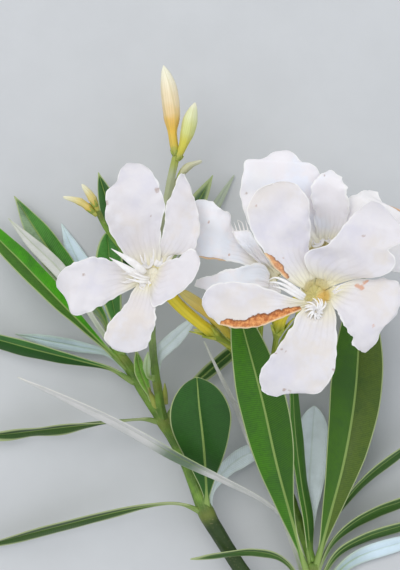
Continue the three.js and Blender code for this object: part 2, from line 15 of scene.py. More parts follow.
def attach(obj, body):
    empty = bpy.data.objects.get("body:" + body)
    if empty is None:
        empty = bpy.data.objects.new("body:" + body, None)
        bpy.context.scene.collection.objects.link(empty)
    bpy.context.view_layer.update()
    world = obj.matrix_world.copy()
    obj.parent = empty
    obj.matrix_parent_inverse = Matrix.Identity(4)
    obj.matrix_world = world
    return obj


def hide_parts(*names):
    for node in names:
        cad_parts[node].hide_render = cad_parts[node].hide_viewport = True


bl_info = {
    "name": "Cut Oleander Branch",
    "version": (1, 0, 0),
    "blender": (4, 5, 0),
    "location": "View3D > Sidebar > Oleander",
    "description": "Leaves, flowers, buds and stems of a cut flowering branch",
    "category": "Object",
}

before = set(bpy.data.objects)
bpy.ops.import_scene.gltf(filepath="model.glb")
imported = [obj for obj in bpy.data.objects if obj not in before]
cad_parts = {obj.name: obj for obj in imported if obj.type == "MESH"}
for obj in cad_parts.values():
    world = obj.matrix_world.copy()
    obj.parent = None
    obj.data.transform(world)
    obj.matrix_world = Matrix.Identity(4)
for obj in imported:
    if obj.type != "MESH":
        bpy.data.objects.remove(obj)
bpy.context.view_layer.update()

MM = 0.001
UP = Vector((0, 0, 1))
# The plan is drawn as an eye straight above the middle sees it.
EYE_HEIGHT = 630.0
PLAN_LEVEL = 30.0
BOX_MIDDLE = Vector((-0.1, -39.6, 0.1))
PLAN_LENGTH = 182.4
FILM_SIDE = 36.0
# Sheets are at most this thick.
THICKEST = 1.5

# Stem shape, in millimetres and shares
NODE_REACH = 2.2
NODE_SWELL = 0.14
SHOOT_FOOT = 0.9
STEM_SIDES = 24
STEM_RING_PITCH = 1.3

# Leaf shape, in millimetres and shares
PETIOLE_SHARE = 0.08
PETIOLE_WIDTH = 2.2
LEAF_FOLD = 0.09
LEAF_BULGE = 0.035
LEAF_TIP = 0.25
RIB_GROOVE = 0.3
LEAF_GRID = (14, 44)

# Flower shape
PETAL_GRID = (26, 42)
PETAL_ROOT = 0.1
ROOT_DEPTH = 3.4
THROAT_RADIUS = 5.6
THROAT_DEPTH = 9.0
THROAT_SIDES = 30
OUTER_RINGS = 34
INNER_RINGS = 10
TUBE_RADIUS = 1.8
CALYX_RADIUS = 2.1
PEDICEL_RADIUS = 0.9
SEPALS = 5
SEPAL_TURN = 0.4
SEPAL_THICKNESS = 0.55
FLOWER_SEPAL = 7.5
SCALE_WIDTH = 4.4
SCALE_TEETH = 4
STRAP_STEPS = 6
TUFT_DEPTH = 3.6
BUD_GRID = (40, 40)


# Shared shaping

def placed(point):
    """The real point that the plan's eye sees at x and y when it lies at that height."""
    x, y, height = point
    nearer = (EYE_HEIGHT - height) / (EYE_HEIGHT - PLAN_LEVEL)
    return Vector((x * nearer, y * nearer, height))


def to_frame(point):
    return (point - BOX_MIDDLE) * MM


def smooth_step(low, high, value):
    share = min(max((value - low) / (high - low), 0.0), 1.0)
    return share * share * (3 - 2 * share)


def profile(pairs, share):
    """Linear steps between (share, value) pairs."""
    if share <= pairs[0][0]:
        return pairs[0][1]
    for (start, low), (end, high) in zip(pairs, pairs[1:]):
        if share <= end:
            return low + (high - low) * (share - start) / (end - start)
    return pairs[-1][1]


def square_to(vector, along):
    """The direction of the part of a vector that is square to a line."""
    return (vector - along * vector.dot(along)).normalized()


def level_way(degrees):
    """The level direction at a heading."""
    return Vector((cos(radians(degrees)), sin(radians(degrees)), 0))


def upright(along, roll=0.0):
    """The direction square to a line that points up, turned about the line by roll degrees."""
    return Matrix.Rotation(radians(roll), 3, along) @ square_to(UP, along)


def any_square(along):
    """A direction square to a line, also to one that stands upright."""
    return upright(along) if abs(along.z) < 0.99 else Vector((1, 0, 0))


def hermite(before, start, end, after, step):
    """A point on the centripetal curve between start and end."""
    near, span, far = (max((b - a).length, 1e-4) ** 0.5
                       for a, b in ((before, start), (start, end), (end, after)))
    leave = ((start - before) / near - (end - before) / (near + span) + (end - start) / span) * span
    arrive = ((end - start) / span - (after - start) / (span + far) + (after - end) / far) * span
    square = (end - start) * 3 - leave * 2 - arrive
    cube = (start - end) * 2 + leave + arrive
    return start + leave * step + square * step ** 2 + cube * step ** 3


class Course:
    """A smooth line through points, read by the share of its length."""

    def __init__(self, points, steps=14):
        chain = [points[0] * 2 - points[1], *points, points[-1] * 2 - points[-2]]
        self.spots = [points[0].copy()]
        for four in zip(chain, chain[1:], chain[2:], chain[3:]):
            self.spots += [hermite(*four, k / steps) for k in range(1, steps + 1)]
        self.reach = [0.0]
        for a, b in zip(self.spots, self.spots[1:]):
            self.reach.append(self.reach[-1] + (b - a).length)
        self.length = self.reach[-1]

    def at(self, share):
        wanted = min(max(share, 0.0), 1.0) * self.length
        k = min(max(bisect.bisect_right(self.reach, wanted), 1), len(self.spots) - 1)
        span = max(self.reach[k] - self.reach[k - 1], 1e-9)
        return self.spots[k - 1].lerp(self.spots[k], (wanted - self.reach[k - 1]) / span)

    def along(self, share):
        return (self.at(min(share + 0.01, 1)) - self.at(max(share - 0.01, 0))).normalized()


def deselect():
    bpy.ops.object.select_all(action="DESELECT")


def select_only(*pieces):
    deselect()
    for piece in pieces:
        piece.select_set(True)
    bpy.context.view_layer.objects.active = pieces[0]


TEMPLATES = {}


def grid_template(columns, rows):
    deselect()
    bpy.ops.mesh.primitive_grid_add(x_subdivisions=columns, y_subdivisions=rows, size=1)
    return bpy.context.active_object


def limb_template(sides, rings):
    """A round bar of height 1, made from a ball: its poles are the middles of the two ends."""
    deselect()
    bpy.ops.mesh.primitive_uv_sphere_add(segments=sides, ring_count=rings + 2, radius=1, calc_uvs=False)
    bar = bpy.context.active_object
    for vertex in bar.data.vertices:
        x, y, z = vertex.co
        step = round(acos(max(-1, min(1, -z))) / pi * (rings + 2))
        angle = atan2(y, x)
        level = min(max(step - 1, 0), rings) / rings - 0.5
        vertex.co = (0, 0, level) if step in (0, rings + 2) else (cos(angle), sin(angle), level)
    return bar


def copy_of(make, name, *sizes):
    """A new object on its own copy of a template's mesh."""
    key = (make, *sizes)
    if key not in TEMPLATES:
        model = make(*sizes)
        TEMPLATES[key] = model.data.copy()
        bpy.data.objects.remove(model)
    piece = bpy.data.objects.new(name, TEMPLATES[key].copy())
    piece.data.name = name
    bpy.context.collection.objects.link(piece)
    return piece


def give(piece, name, values):
    """Stores one number or one vector for each vertex."""
    if isinstance(values[0], float):
        piece.data.attributes.new(name, "FLOAT", "POINT").data.foreach_set("value", values)
    else:
        numbers = [number for value in values for number in value]
        piece.data.attributes.new(name, "FLOAT_VECTOR", "POINT").data.foreach_set("vector", numbers)


def shaped(piece, place, *names):
    """Puts each vertex of a template where place says, and stores what place tells about it."""
    told = []
    for vertex in piece.data.vertices:
        point, *values = place(vertex.co)
        vertex.co = to_frame(point)
        told.append(values)
    for name, values in zip(names, zip(*told)):
        give(piece, name, values)
    return piece


def add_modifier(piece, kind, **settings):
    modifier = piece.modifiers.new(kind.title(), kind)
    for name, value in settings.items():
        setattr(modifier, name, value)
    select_only(piece)
    bpy.ops.object.modifier_apply(modifier=modifier.name)


def round_off(piece):
    add_modifier(piece, "SUBSURF", levels=1, render_levels=1)


def joined(name, pieces):
    select_only(*pieces)
    if len(pieces) > 1:
        bpy.ops.object.join()
    whole = bpy.context.view_layer.objects.active
    whole.name = name
    whole.data.name = name
    return whole


def thickened(name, sheets):
    """Joins sheets and gives each the thickness that its vertices carry."""
    whole = joined(name, sheets)
    group = whole.vertex_groups.new(name="thick")
    for index, mark in enumerate(whole.data.attributes["thickness"].data):
        group.add([index], mark.value / THICKEST, "REPLACE")
    add_modifier(whole, "SOLIDIFY", thickness=THICKEST * MM, offset=0, vertex_group="thick",
                 use_even_offset=False)
    whole.vertex_groups.clear()
    whole.data.attributes.remove(whole.data.attributes["thickness"])
    round_off(whole)
    return whole


def finished(piece, node, finish):
    """Smooths a piece, gives it its finish and puts it in place of its CAD node."""
    piece.data.shade_smooth()
    piece.data.materials.clear()
    piece.data.materials.append(finish)
    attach(piece, "root")
    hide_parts(node)


def carried_frames(course, rings):
    """A normal and a side at each ring, turned as little as possible from one to the next."""
    frames = []
    normal = any_square(course.along(0))
    for k in range(rings + 1):
        along = course.along(k / rings)
        normal = square_to(normal, along)
        frames.append((normal.copy(), along.cross(normal)))
    return frames


def limb(name, course, radius, sides, rings):
    """A limb along a course. radius takes the share and the angle round the limb."""
    frames = carried_frames(course, rings)

    def place(spot):
        k = round((spot.z + 0.5) * rings)
        share, angle = k / rings, atan2(spot.y, spot.x)
        reach = hypot(spot.x, spot.y) * radius(share, angle)
        normal, side = frames[k]
        point = course.at(share) + (normal * cos(angle) + side * sin(angle)) * reach
        return point, (share, angle / tau + 0.5, share * course.length)

    return shaped(copy_of(limb_template, name, sides, rings), place, "limb_place")


def blade(name, course, width, up, thickness, columns=4, rows=10, bend=0.0):
    """A narrow blade along a course, such as a calyx lobe or a tooth of the fringe."""
    def place(spot):
        across, share = spot.x, spot.y + 0.5
        along = course.along(share)
        rise = square_to(up, along)
        row = width(share)
        lift = -bend * row * (2 * across) ** 2
        point = course.at(share) + along.cross(rise) * across * row + rise * lift
        return point, (share, across + 0.5, share * course.length), thickness * (1 - abs(across))

    return shaped(copy_of(grid_template, name, columns, rows), place, "limb_place", "thickness")


# Shader building

def glow(weight, scale):
    """Settings of a tissue that lets light in, about as far in all colours."""
    return {"Subsurface_Weight": weight, "Subsurface_Scale": scale,
            "Subsurface_Radius": (1.0, 0.95, 0.85)}


def hue(code):
    """A display colour, written as six hexadecimal digits, as light."""
    parts = [int(code[k:k + 2], 16) / 255 for k in (0, 2, 4)]
    light = [p / 12.92 if p <= 0.04045 else ((p + 0.055) / 1.055) ** 2.4 for p in parts]
    return (*light, 1.0)


class Signal:
    """What one socket of a node puts out, with the sums and steps that shape it."""

    def __init__(self, finish, socket):
        self.finish, self.socket = finish, socket

    def __add__(self, other):
        return self.finish.math("ADD", self, other)

    def __sub__(self, other):
        return self.finish.math("SUBTRACT", self, other)

    def __rsub__(self, other):
        return self.finish.math("SUBTRACT", other, self)

    def __mul__(self, other):
        return self.finish.math("MULTIPLY", self, other)

    def __abs__(self):
        return self.finish.math("ABSOLUTE", self)

    def sine(self):
        return self.finish.math("SINE", self)

    def step(self, low, high, start=0.0, end=1.0):
        feeds = {"Value": self, "From Min": low, "From Max": high, "To Min": start, "To Max": end}
        return self.finish.node("MapRange", feeds, interpolation_type="SMOOTHSTEP")


class Finish:
    """A material with a node tree that is built up by calls. A colour may be a code for hue."""

    def __init__(self, name, **settings):
        self.material = bpy.data.materials.new(name)
        self.material.use_nodes = True
        self.tree = self.material.node_tree
        self.sockets = self.tree.nodes["Principled BSDF"].inputs
        for socket, value in settings.items():
            self.sockets[socket.replace("_", " ")].default_value = value

    def node(self, kind, feeds, output=0, **settings):
        node = self.tree.nodes.new("ShaderNode" + kind)
        for name, value in settings.items():
            setattr(node, name, value)
        for socket, value in feeds.items():
            self.feed(node.inputs[socket], value)
        return Signal(self, node.outputs[output])

    def feed(self, socket, value):
        if isinstance(value, Signal):
            self.tree.links.new(value.socket, socket)
        else:
            socket.default_value = hue(value) if isinstance(value, str) else value

    def math(self, operation, first, second=0.0):
        return self.node("Math", {0: first, 1: second}, operation=operation)

    def layered(self, base, *layers):
        """A base colour under layers of share and colour, some with a way of blending."""
        for share, colour, *blend in layers:
            feeds = {0: share, 6: base, 7: colour}
            base = self.node("Mix", feeds, 2, data_type="RGBA", blend_type=blend[0] if blend else "MIX")
        return base

    def place(self):
        return self.node("TexCoord", {}, "Object")

    def spots(self, scale, detail=3.0, rough=0.5, at=None):
        feeds = {"Vector": at or self.place(), "Scale": scale, "Detail": detail, "Roughness": rough}
        return self.node("TexNoise", feeds, "Fac")

    def stored(self, name, output="Fac"):
        return self.node("Attribute", {}, output, attribute_name=name)

    def stored_parts(self, name):
        vector = self.stored(name, "Vector")
        return [self.node("SeparateXYZ", {0: vector}, k) for k in range(3)]

    def bump(self, height, depth, strength):
        feeds = {"Height": height, "Distance": depth * MM, "Strength": strength}
        self.feed(self.sockets["Normal"], self.node("Bump", feeds))

    def paint(self, base, *layers):
        self.feed(self.sockets["Base Color"], self.layered(base, *layers))

    def roughness(self, value):
        self.feed(self.sockets["Roughness"], value)


# Sizes and colours that a user would change

class OleanderLeafSettings(PropertyGroup):
    """Leaves"""

    thickness: FloatProperty(
        name="Thickness", description="Thickness of a leaf at its midrib", default=0.0011,
        min=0.0003, max=0.002, unit="LENGTH", precision=4)
    vein_pitch: FloatProperty(
        name="Vein pitch", description="Distance from one side vein to the next", default=0.0007,
        min=0.0003, max=0.003, unit="LENGTH", precision=5)
    waviness: FloatProperty(
        name="Waviness", description="How far the margins wave up and down", default=0.0003,
        min=0, max=0.002, unit="LENGTH", precision=4)
    rib_colour: FloatVectorProperty(
        name="Midrib", description="Colour of the midrib", default=hue("8fa75c")[:3],
        subtype="COLOR", min=0, max=1)
    margin_colour: FloatVectorProperty(
        name="Margin", description="Colour of the thin margin", default=hue("b4c08a")[:3],
        subtype="COLOR", min=0, max=1)


class OleanderFlowerSettings(PropertyGroup):
    """Flowers"""

    petal_thickness: FloatProperty(
        name="Petal thickness", description="Thickness of a petal in its middle", default=0.0006,
        min=0.0002, max=0.001, unit="LENGTH", precision=4)
    ruffle: FloatProperty(
        name="Ruffle", description="How far the petal margins wave", default=0.0007,
        min=0, max=0.003, unit="LENGTH", precision=4)
    petal_colour: FloatVectorProperty(
        name="Petal", description="Colour of a petal", default=hue("ece7ea")[:3],
        subtype="COLOR", min=0, max=1)
    throat_colour: FloatVectorProperty(
        name="Throat", description="Colour where a petal meets the throat", default=hue("ece5c2")[:3],
        subtype="COLOR", min=0, max=1)


class OleanderStemSettings(PropertyGroup):
    """Stems"""

    relief: FloatProperty(
        name="Relief", description="Depth of the ridges on the stems", default=0.00012,
        min=0, max=0.001, unit="LENGTH", precision=5)
    young_colour: FloatVectorProperty(
        name="Young stem", description="Colour of the young shoots", default=hue("6c9030")[:3],
        subtype="COLOR", min=0, max=1)
    old_colour: FloatVectorProperty(
        name="Old stem", description="Colour of the cut stem", default=hue("687438")[:3],
        subtype="COLOR", min=0, max=1)


class OleanderStageSettings(PropertyGroup):
    """Floor and light"""

    floor_colour: FloatVectorProperty(
        name="Floor", description="Colour of the floor", default=(0.56, 0.57, 0.58),
        subtype="COLOR", min=0, max=1)
    key_power: FloatProperty(
        name="Key light", description="Power of the main soft light", default=4.7,
        min=0, unit="POWER")
    sky_strength: FloatProperty(
        name="Surround", description="Strength of the even light from all sides", default=0.77,
        min=0, max=5, subtype="FACTOR")


# Stems

class Stem(NamedTuple):
    """Radii go by share, and nodes are shares. Over the shares in pale the stem turns pale, and over the
    last two shares the dark green of painted shade on its lower part fades out."""

    points: list
    radii: list
    nodes: list
    slot: str = "green_stem"
    pale: tuple = (2, 3)
    shaded: tuple = (-2, -1)


FORK = (31.4, -116.8, 6.5)
STEMS = {
    "main_stem": Stem([(33.6, -143, 3.3), (33.2, -130, 4.6), FORK], [(0, 3.2), (1, 3)], [0.97], "bark"),
    "right_stem": Stem([FORK, (33.6, -105.6, 8), (35.2, -97, 9.5), (35.8, -88.6, 10.5)],
        [(0, 2.6), (0.6, 2.4), (1, 2.1)], [0.5, 0.72, 0.9]),
    "left_stem": Stem([FORK, (19.8, -100.8, 8), (9, -84.5, 9), (1.6, -72, 9.5), (-4.8, -56, 9.5),
        (-11.8, -43.8, 10), (-17.6, -34.6, 10), (-23, -25.9, 10), (-28.2, -19.2, 10.5)],
        [(0, 2.6), (0.35, 2.5), (0.47, 2.6), (0.51, 2.2), (0.74, 2), (0.93, 1.8), (1, 1.4)],
        [0.46, 0.74, 0.95], shaded=(0.42, 0.5)),
    "left_shoot": Stem([(-11.8, -43.2, 10.5), (-13.4, -34.2, 13.5), (-15, -20.8, 17), (-15.4, -1.6, 21),
        (-13.4, 16, 24), (-10.2, 29.4, 26), (-7.7, 41.3, 27)],
        [(0, 1.6), (0.15, 1.3), (0.6, 1.1), (1, 1.2)], [0.14, 0.43, 0.9], pale=(0.1, 0.75)),
    "bud_stalk": Stem([(-15.3, -4, 20.5), (-23, 8.6, 23), (-30.1, 18.2, 24.5), (-32.6, 23.7, 25)],
        [(0, 0.8), (1, 0.8)], [0.97]),
    "flower_stalk": Stem([(35.8, -88.6, 10.5), (32.3, -77.8, 11.5), (28.2, -65, 13), (23.7, -49.6, 15),
        (19.8, -34.2, 18), (15.7, -21.4, 21)], [(0, 1.6), (1, 1.2)], [0.76, 0.85, 0.95]),
}
COURSES = {name: Course([placed(p) for p in stem.points]) for name, stem in STEMS.items()}


def grown_from(stem, share, points):
    """The course of a side shoot. It starts just off the stem's middle line, on the side it leans to."""
    foot, along = COURSES[stem].at(share), COURSES[stem].along(share)
    if share < 1:
        foot += square_to(points[0] - foot, along) * SHOOT_FOOT
    return Course([foot, *points])


def stem_finish(name, colour, darker, freckles):
    finish = Finish(name, Roughness=0.5, Specular_IOR_Level=0.4)
    share, turn, reach = finish.stored_parts("limb_place")
    lines = finish.spots(1.4, 3.0, 0.6, finish.node("CombineXYZ", {0: turn * 26.0, 1: reach * 0.09}))
    patches = finish.spots(140.0, 3.0, 0.6)
    pale, shaded, node = map(finish.stored, ("limb_pale", "limb_shaded", "limb_node"))
    dots = finish.spots(1900.0, 1.0).step(0.66, 0.74, 0.0, freckles)
    finish.paint(
        colour, (patches.step(0.38, 0.66), darker), (lines.step(0.5, 0.72, 0.0, 0.4), "a3b070"),
        # The dark green over the lower part of a stem is painted shade
        (pale * 0.85, "b9be9a"), (pale * share.step(0.92, 0.98), "a3ac52"), (shaded * 0.95, "253a12"),
        (node * (0.4 - pale * 0.3), "84803c"), (dots, "b7a77c"))
    finish.roughness(patches.step(0.3, 0.7, 0.42, 0.62))
    finish.bump(lines + dots * 0.6, 0.12, 0.8)
    return finish.material


def node_swell(stem, share, length):
    """How close a share of the stem's length is to a node, from 0 to 1."""
    return max(exp(-((share - at) * length / NODE_REACH) ** 2) for at in stem.nodes)


def make_stem(name, stem, relief, finish):
    course = COURSES[name]

    def radius(share, angle):
        ridges = relief * sin(5 * angle + 9 * share)
        spot = Vector((cos(angle) * 1.3, sin(angle) * 1.3, share * 24 + len(name)))
        swell = 1 + NODE_SWELL * node_swell(stem, share, course.length)
        return profile(stem.radii, share) * swell + ridges + relief * 1.4 * noise.noise(spot)

    rings = max(12, int(course.length / STEM_RING_PITCH))
    piece = limb(name + "_bark", course, radius, STEM_SIDES, rings)
    shares = [mark.vector[0] for mark in piece.data.attributes["limb_place"].data]
    give(piece, "limb_node", [node_swell(stem, share, course.length) for share in shares])
    give(piece, "limb_pale", [smooth_step(*stem.pale, share) for share in shares])
    # How much painted shade darkens the stem, full below its given shares
    give(piece, "limb_shaded", [1 - smooth_step(*stem.shaded, share) for share in shares])
    round_off(piece)
    finished(piece, name, finish)


# Share of the shoot, heading, length and rise
BRACTS = [(0.05, 200, 8.5, 3.5), (0.06, 10, 7.5, 4), (0.3, 150, 2.6, 1.5)]


def make_bracts(finish):
    """Short dry bracts where the flowering shoot leaves the left stem."""
    course = COURSES["left_shoot"]
    lobes = []
    for share, heading, size, rise in BRACTS:
        lean, along = level_way(heading), course.along(share)
        foot = course.at(share) + lean * SHOOT_FOOT
        line = [foot, foot + lean * 1.2 + along * size * 0.5,
                foot + lean * 1.9 + along * size + UP * rise * 0.3]
        lobes.append(blade("bract", Course(line), lambda s: 3.2 * (1 - s) + 0.2, UP, 0.7, bend=0.2))
    finished(thickened("left_shoot_bracts", lobes), "left_shoot", finish)


class OLEANDER_OT_stems(Operator):
    """Make the stems with their ridges, nodes and bracts"""

    bl_idname = "oleander.stems"
    bl_label = "Stems"

    def execute(self, context):
        settings = context.scene.oleander_stems
        young = stem_finish("young green stem", (*settings.young_colour, 1), "4d6e26", 0.35)
        old = stem_finish("olive cut stem", (*settings.old_colour, 1), "5a4a2c", 0.8)
        dry = stem_finish("dry bract", "a9b252", "8c8a44", 0.2)
        for name, stem in STEMS.items():
            make_stem(name, stem, settings.relief / MM, old if name == "main_stem" else young)
        make_bracts(dry)
        return {"FINISHED"}


# Leaves

class Leaf(NamedTuple):
    """Grows on a stem, at a share of its length. Its sky sheen, given by share, is how far a painted
    reflection of the pale sky covers the green. A turned leaf is narrow on the right of its foot, and a
    plain one hides its midrib."""

    on: str
    at: float
    width: float
    roll: float
    look: str
    line: list
    sky_sheen: tuple = ((0, 0.0),)
    blunt: bool = False
    even: bool = False
    turned: float = 0
    plain: float = 0
    wavy: float = 1


LEAVES = {
    "right_leaf_left": Leaf("right_stem", 0.8, 15.5, -3, "deep", [(29.6, -76, 18.5), (24.6, -57.6, 25.5),
        (19.8, -36.2, 32), (14.4, -16, 37), (10.2, 0, 38)], turned=0.75),
    "right_leaf_right": Leaf("right_stem", 0.86, 17.4, 4, "dusky", [(42, -72, 14.5), (45.8, -57.6, 15),
        (49.4, -36.8, 12.5), (50.8, -17.6, 8), (51.5, 6.4, 0.9)]),
    "right_leaf_upright": Leaf("right_stem", 0.97, 8.6, 60, "deep", [(34, -75.2, 13), (32, -62.4, 15),
        (30.2, -46.4, 17), (29.6, -34.6, 18), (29, -20.5, 19)], even=True),
    "right_leaf_long": Leaf("right_stem", 0.92, 9.5, -66, "sheen_white", [(30.4, -78.2, 11), (22.4, -70.4, 15),
        (9.6, -62.9, 22), (-6.4, -55, 27), (-25.6, -44, 29), (-44.8, -35.2, 27), (-58.6, -29.4, 23)],
        sky_sheen=[(0, 0.1), (0.08, 0.6), (0.14, 0.95), (0.42, 0.9), (0.47, 0.15), (0.54, 0.15), (0.6, 0.9),
        (1, 1)]),
    "right_leaf_thin": Leaf("right_stem", 0.72, 3.6, -54, "sheen_white", [(30.6, -85.5, 7), (21.8, -63, 12.5),
        (12.8, -41.6, 17), (1.3, -17.9, 19)], sky_sheen=[(0, 0.2), (0.15, 0.9), (1, 1)]),
    "right_leaf_rising": Leaf("right_stem", 0.9, 8, 60, "edged", [(40.6, -78, 7), (46.4, -68.8, 8),
        (52.8, -61.8, 8.5), (64, -53.1, 9), (78.4, -44.5, 8)]),
    "right_leaf_wide": Leaf("right_stem", 0.64, 9, 58, "edged", [(41.6, -83, 8), (48, -76.6, 7.5),
        (56, -71.9, 7.5), (64, -69.2, 7.5), (81.6, -63.4, 6)]),
    "right_leaf_low": Leaf("right_stem", 0.46, 7.5, 58, "edged", [(43, -86.6, 4.6), (51.2, -81.2, 4.5),
        (64, -77, 4.5), (80, -73.6, 4)]),
    "right_leaf_bottom": Leaf("right_stem", 0.28, 6, 20, "edged", [(46.4, -89.5, 3), (64, -82.4, 2),
        (78.4, -79.4, 1.5)], sky_sheen=[(0, 0), (0.4, 0.5), (0.6, 0.9), (1, 0.9)]),
    "right_leaf_under": Leaf("right_stem", 0.94, 12, 0, "airy", [(34.8, -75.2, 7), (35, -62.4, 6.5),
        (35.6, -52.8, 5.5), (36.6, -38.6, 4)], sky_sheen=[(0, 0.4), (0.3, 0.9), (1, 1)], blunt=True),
    "right_leaf_arching": Leaf("right_stem", 0.5, 7, -62, "edged", [(30.4, -92, 11), (25.6, -87, 13),
        (17.6, -85, 14.5), (8, -85.8, 15.5), (-3.2, -88, 15)]),
    "left_leaf_spoon": Leaf("left_stem", 0.47, 20, 0, "matte", [(1.9, -62.4, 15), (1, -49.6, 22),
        (-0.3, -38.4, 27), (-1, -29.4, 30)], blunt=True),
    "left_leaf_arching": Leaf("left_stem", 0.46, 8.4, -60, "dark", [(-1.3, -71.7, 10.5), (-6.4, -70.1, 11),
        (-19.2, -70.9, 11), (-44.8, -76.8, 8), (-64, -81.9, 5), (-75.2, -85.4, 3)]),
    "left_leaf_curved": Leaf("left_stem", 0.46, 6.5, 10, "airy", [(3.2, -67.8, 8), (5.1, -63, 6.5),
        (9, -58.2, 5), (14.4, -54.4, 4.5), (27.2, -49.6, 3.5)], sky_sheen=[(0, 0.7), (0.1, 0.95), (1, 0.95)]),
    "left_leaf_narrow": Leaf("left_stem", 0.742, 8, -60, "dark", [(-17, -43.2, 10.5), (-24, -43.5, 10.5),
        (-33.6, -44.2, 10), (-44.8, -45.4, 9), (-64, -47.7, 6), (-72, -48, 4)], wavy=3),
    "left_leaf_hidden": Leaf("left_stem", 0.742, 5, 16, "edged", [(-6.4, -36.2, 8), (1.6, -28.5, 7),
        (9.6, -21.8, 6), (18.6, -14.4, 5)]),
    "left_leaf_young": Leaf("left_stem", 0.79, 4, 6, "young", [(-17, -33, 13), (-19.2, -27.2, 14.5),
        (-20.5, -20.5, 16)]),
    "left_leaf_dark": Leaf("left_stem", 0.875, 10, -54, "rich", [(-28.2, -26.9, 11), (-35.2, -24.8, 11),
        (-44.8, -22.4, 11), (-54.4, -20, 10), (-64, -17.4, 8), (-81.6, -13.2, 4)]),
    "left_leaf_behind": Leaf("left_stem", 0.91, 4.5, -16, "edged", [(-29.4, -22, 7.5), (-38.4, -19.7, 6),
        (-48, -17.9, 5), (-59.2, -15.7, 4)], sky_sheen=[(0, 0.6), (0.2, 0.8), (1, 0.7)]),
    "left_leaf_bright": Leaf("left_stem", 0.92, 10, 46, "bright", [(-33, -17.6, 13), (-39, -11.6, 14.5),
        (-48.6, -1.8, 16), (-58, 8, 15), (-64.6, 14.6, 13), (-74.2, 25.4, 9)]),
    "left_leaf_white": Leaf("left_stem", 1, 5, -8, "sheen_white", [(-33, -12.4, 11.5), (-38.4, -3.8, 11.5),
        (-45.4, 5.4, 11), (-54.4, 14.1, 10), (-61.4, 21.4, 8)], sky_sheen=[(0, 0.5), (0.2, 0.8), (1, 0.78)]),
    "left_leaf_upper": Leaf("left_stem", 0.985, 9.6, 14, "banded", [(-29, -15.6, 7.5), (-31.6, -9.6, 6.4),
        (-36.6, -3.6, 6.8), (-44, 5.2, 6.4), (-51.6, 16, 5.8), (-59.5, 28.6, 4.6)]),
    "left_leaf_tip": Leaf("left_stem", 0.935, 8, 8, "edged", [(-27, -15, 5), (-30.6, -5, 2.8),
        (-37.8, 5.4, 1.8), (-44.4, 19.7, 0.9)], sky_sheen=[(0, 0.5), (0.3, 0.9), (1, 0.9)]),
    "left_leaf_blunt": Leaf("left_stem", 0.96, 9, 0, "soft", [(-26.4, -13.4, 16), (-28.8, 0, 17),
        (-29.1, 9.6, 18), (-29.8, 17, 18.5)], blunt=True, plain=0.6),
    "shoot_leaf_slip": Leaf("left_shoot", 0.17, 2.6, 0, "young", [(-16.4, -29.2, 17.5), (-17, -26.4, 19.5),
        (-16.6, -21.4, 21.5)], sky_sheen=[(0, 0.1), (0.5, 0.6), (1, 0.6)]),
    "shoot_leaf_pale": Leaf("left_shoot", 0.19, 5.2, 6, "airy", [(-13.4, -22.6, 14), (-8.4, -17.4, 15.5),
        (-1.8, -10.9, 17)], sky_sheen=[(0, 0.6), (0.2, 0.95), (1, 0.95)], even=True),
    "shoot_leaf_pointed": Leaf("left_shoot", 0.41, 8, 6, "matte", [(-22.4, 6.4, 14), (-26.9, 19.2, 11),
        (-29.8, 27.2, 9), (-32.6, 36.2, 6)]),
    "shoot_leaf_green": Leaf("left_shoot", 0.52, 6.5, 4, "faded", [(-9, 9.6, 16), (-3.2, 21.8, 11),
        (4.2, 35.2, 6)]),
    "shoot_leaf_narrow": Leaf("left_shoot", 0.46, 4.5, 30, "faded", [(-6.4, 7.4, 10), (1.6, 19.8, 6),
        (10.9, 35.2, 1)], sky_sheen=[(0, 0.5), (1, 0.9)], plain=1),
}

# Green of the left and of the right half, the colour of the painted sky reflection, how strong the side
# veins show, and how far the pale margin reaches in millimetres. The two greens are partly the leaf's own
# tones and partly painted light, one half lighter as if lit and the other darker as if shaded. The painted
# sky reflection is palest on the airy leaves, which lie in shade, to lift it.
LOOKS = {
    "deep": ("3b6e0e", "335c12", "c3d0d8", 0.6, 0.45),
    "dusky": ("3c6414", "4e6220", "c3d0d8", 0.4, 0.45),
    "matte": ("2e5c1e", "2c5620", "c3d0d8", 0.15, 0.45),
    "soft": ("4a8436", "427a30", "c3d0d8", 0.1, 0.9),
    "dark": ("3c5a20", "304c1a", "c3d0d8", 0.2, 1.2),
    "rich": ("1f5010", "347a1c", "c3d0d8", 0.2, 0.6),
    "banded": ("90a884", "3c7e18", "c3d0d8", 0.2, 0.5),
    "edged": ("466a2a", "3d6024", "dff1fd", 0.25, 1.0),
    "airy": ("466a2a", "3d6024", "f0fbff", 0.25, 1.0),
    "faded": ("6c8660", "5c7a50", "b4bcae", 0.1, 1.6),
    "sheen_white": ("3a6a30", "305e2c", "e2dfdc", 0.2, 0.5),
    "bright": ("467420", "45990c", "c9d7b9", 0.3, 0.5),
    "young": ("86b84a", "6fa438", "c9d7b9", 0.2, 0.5),
}


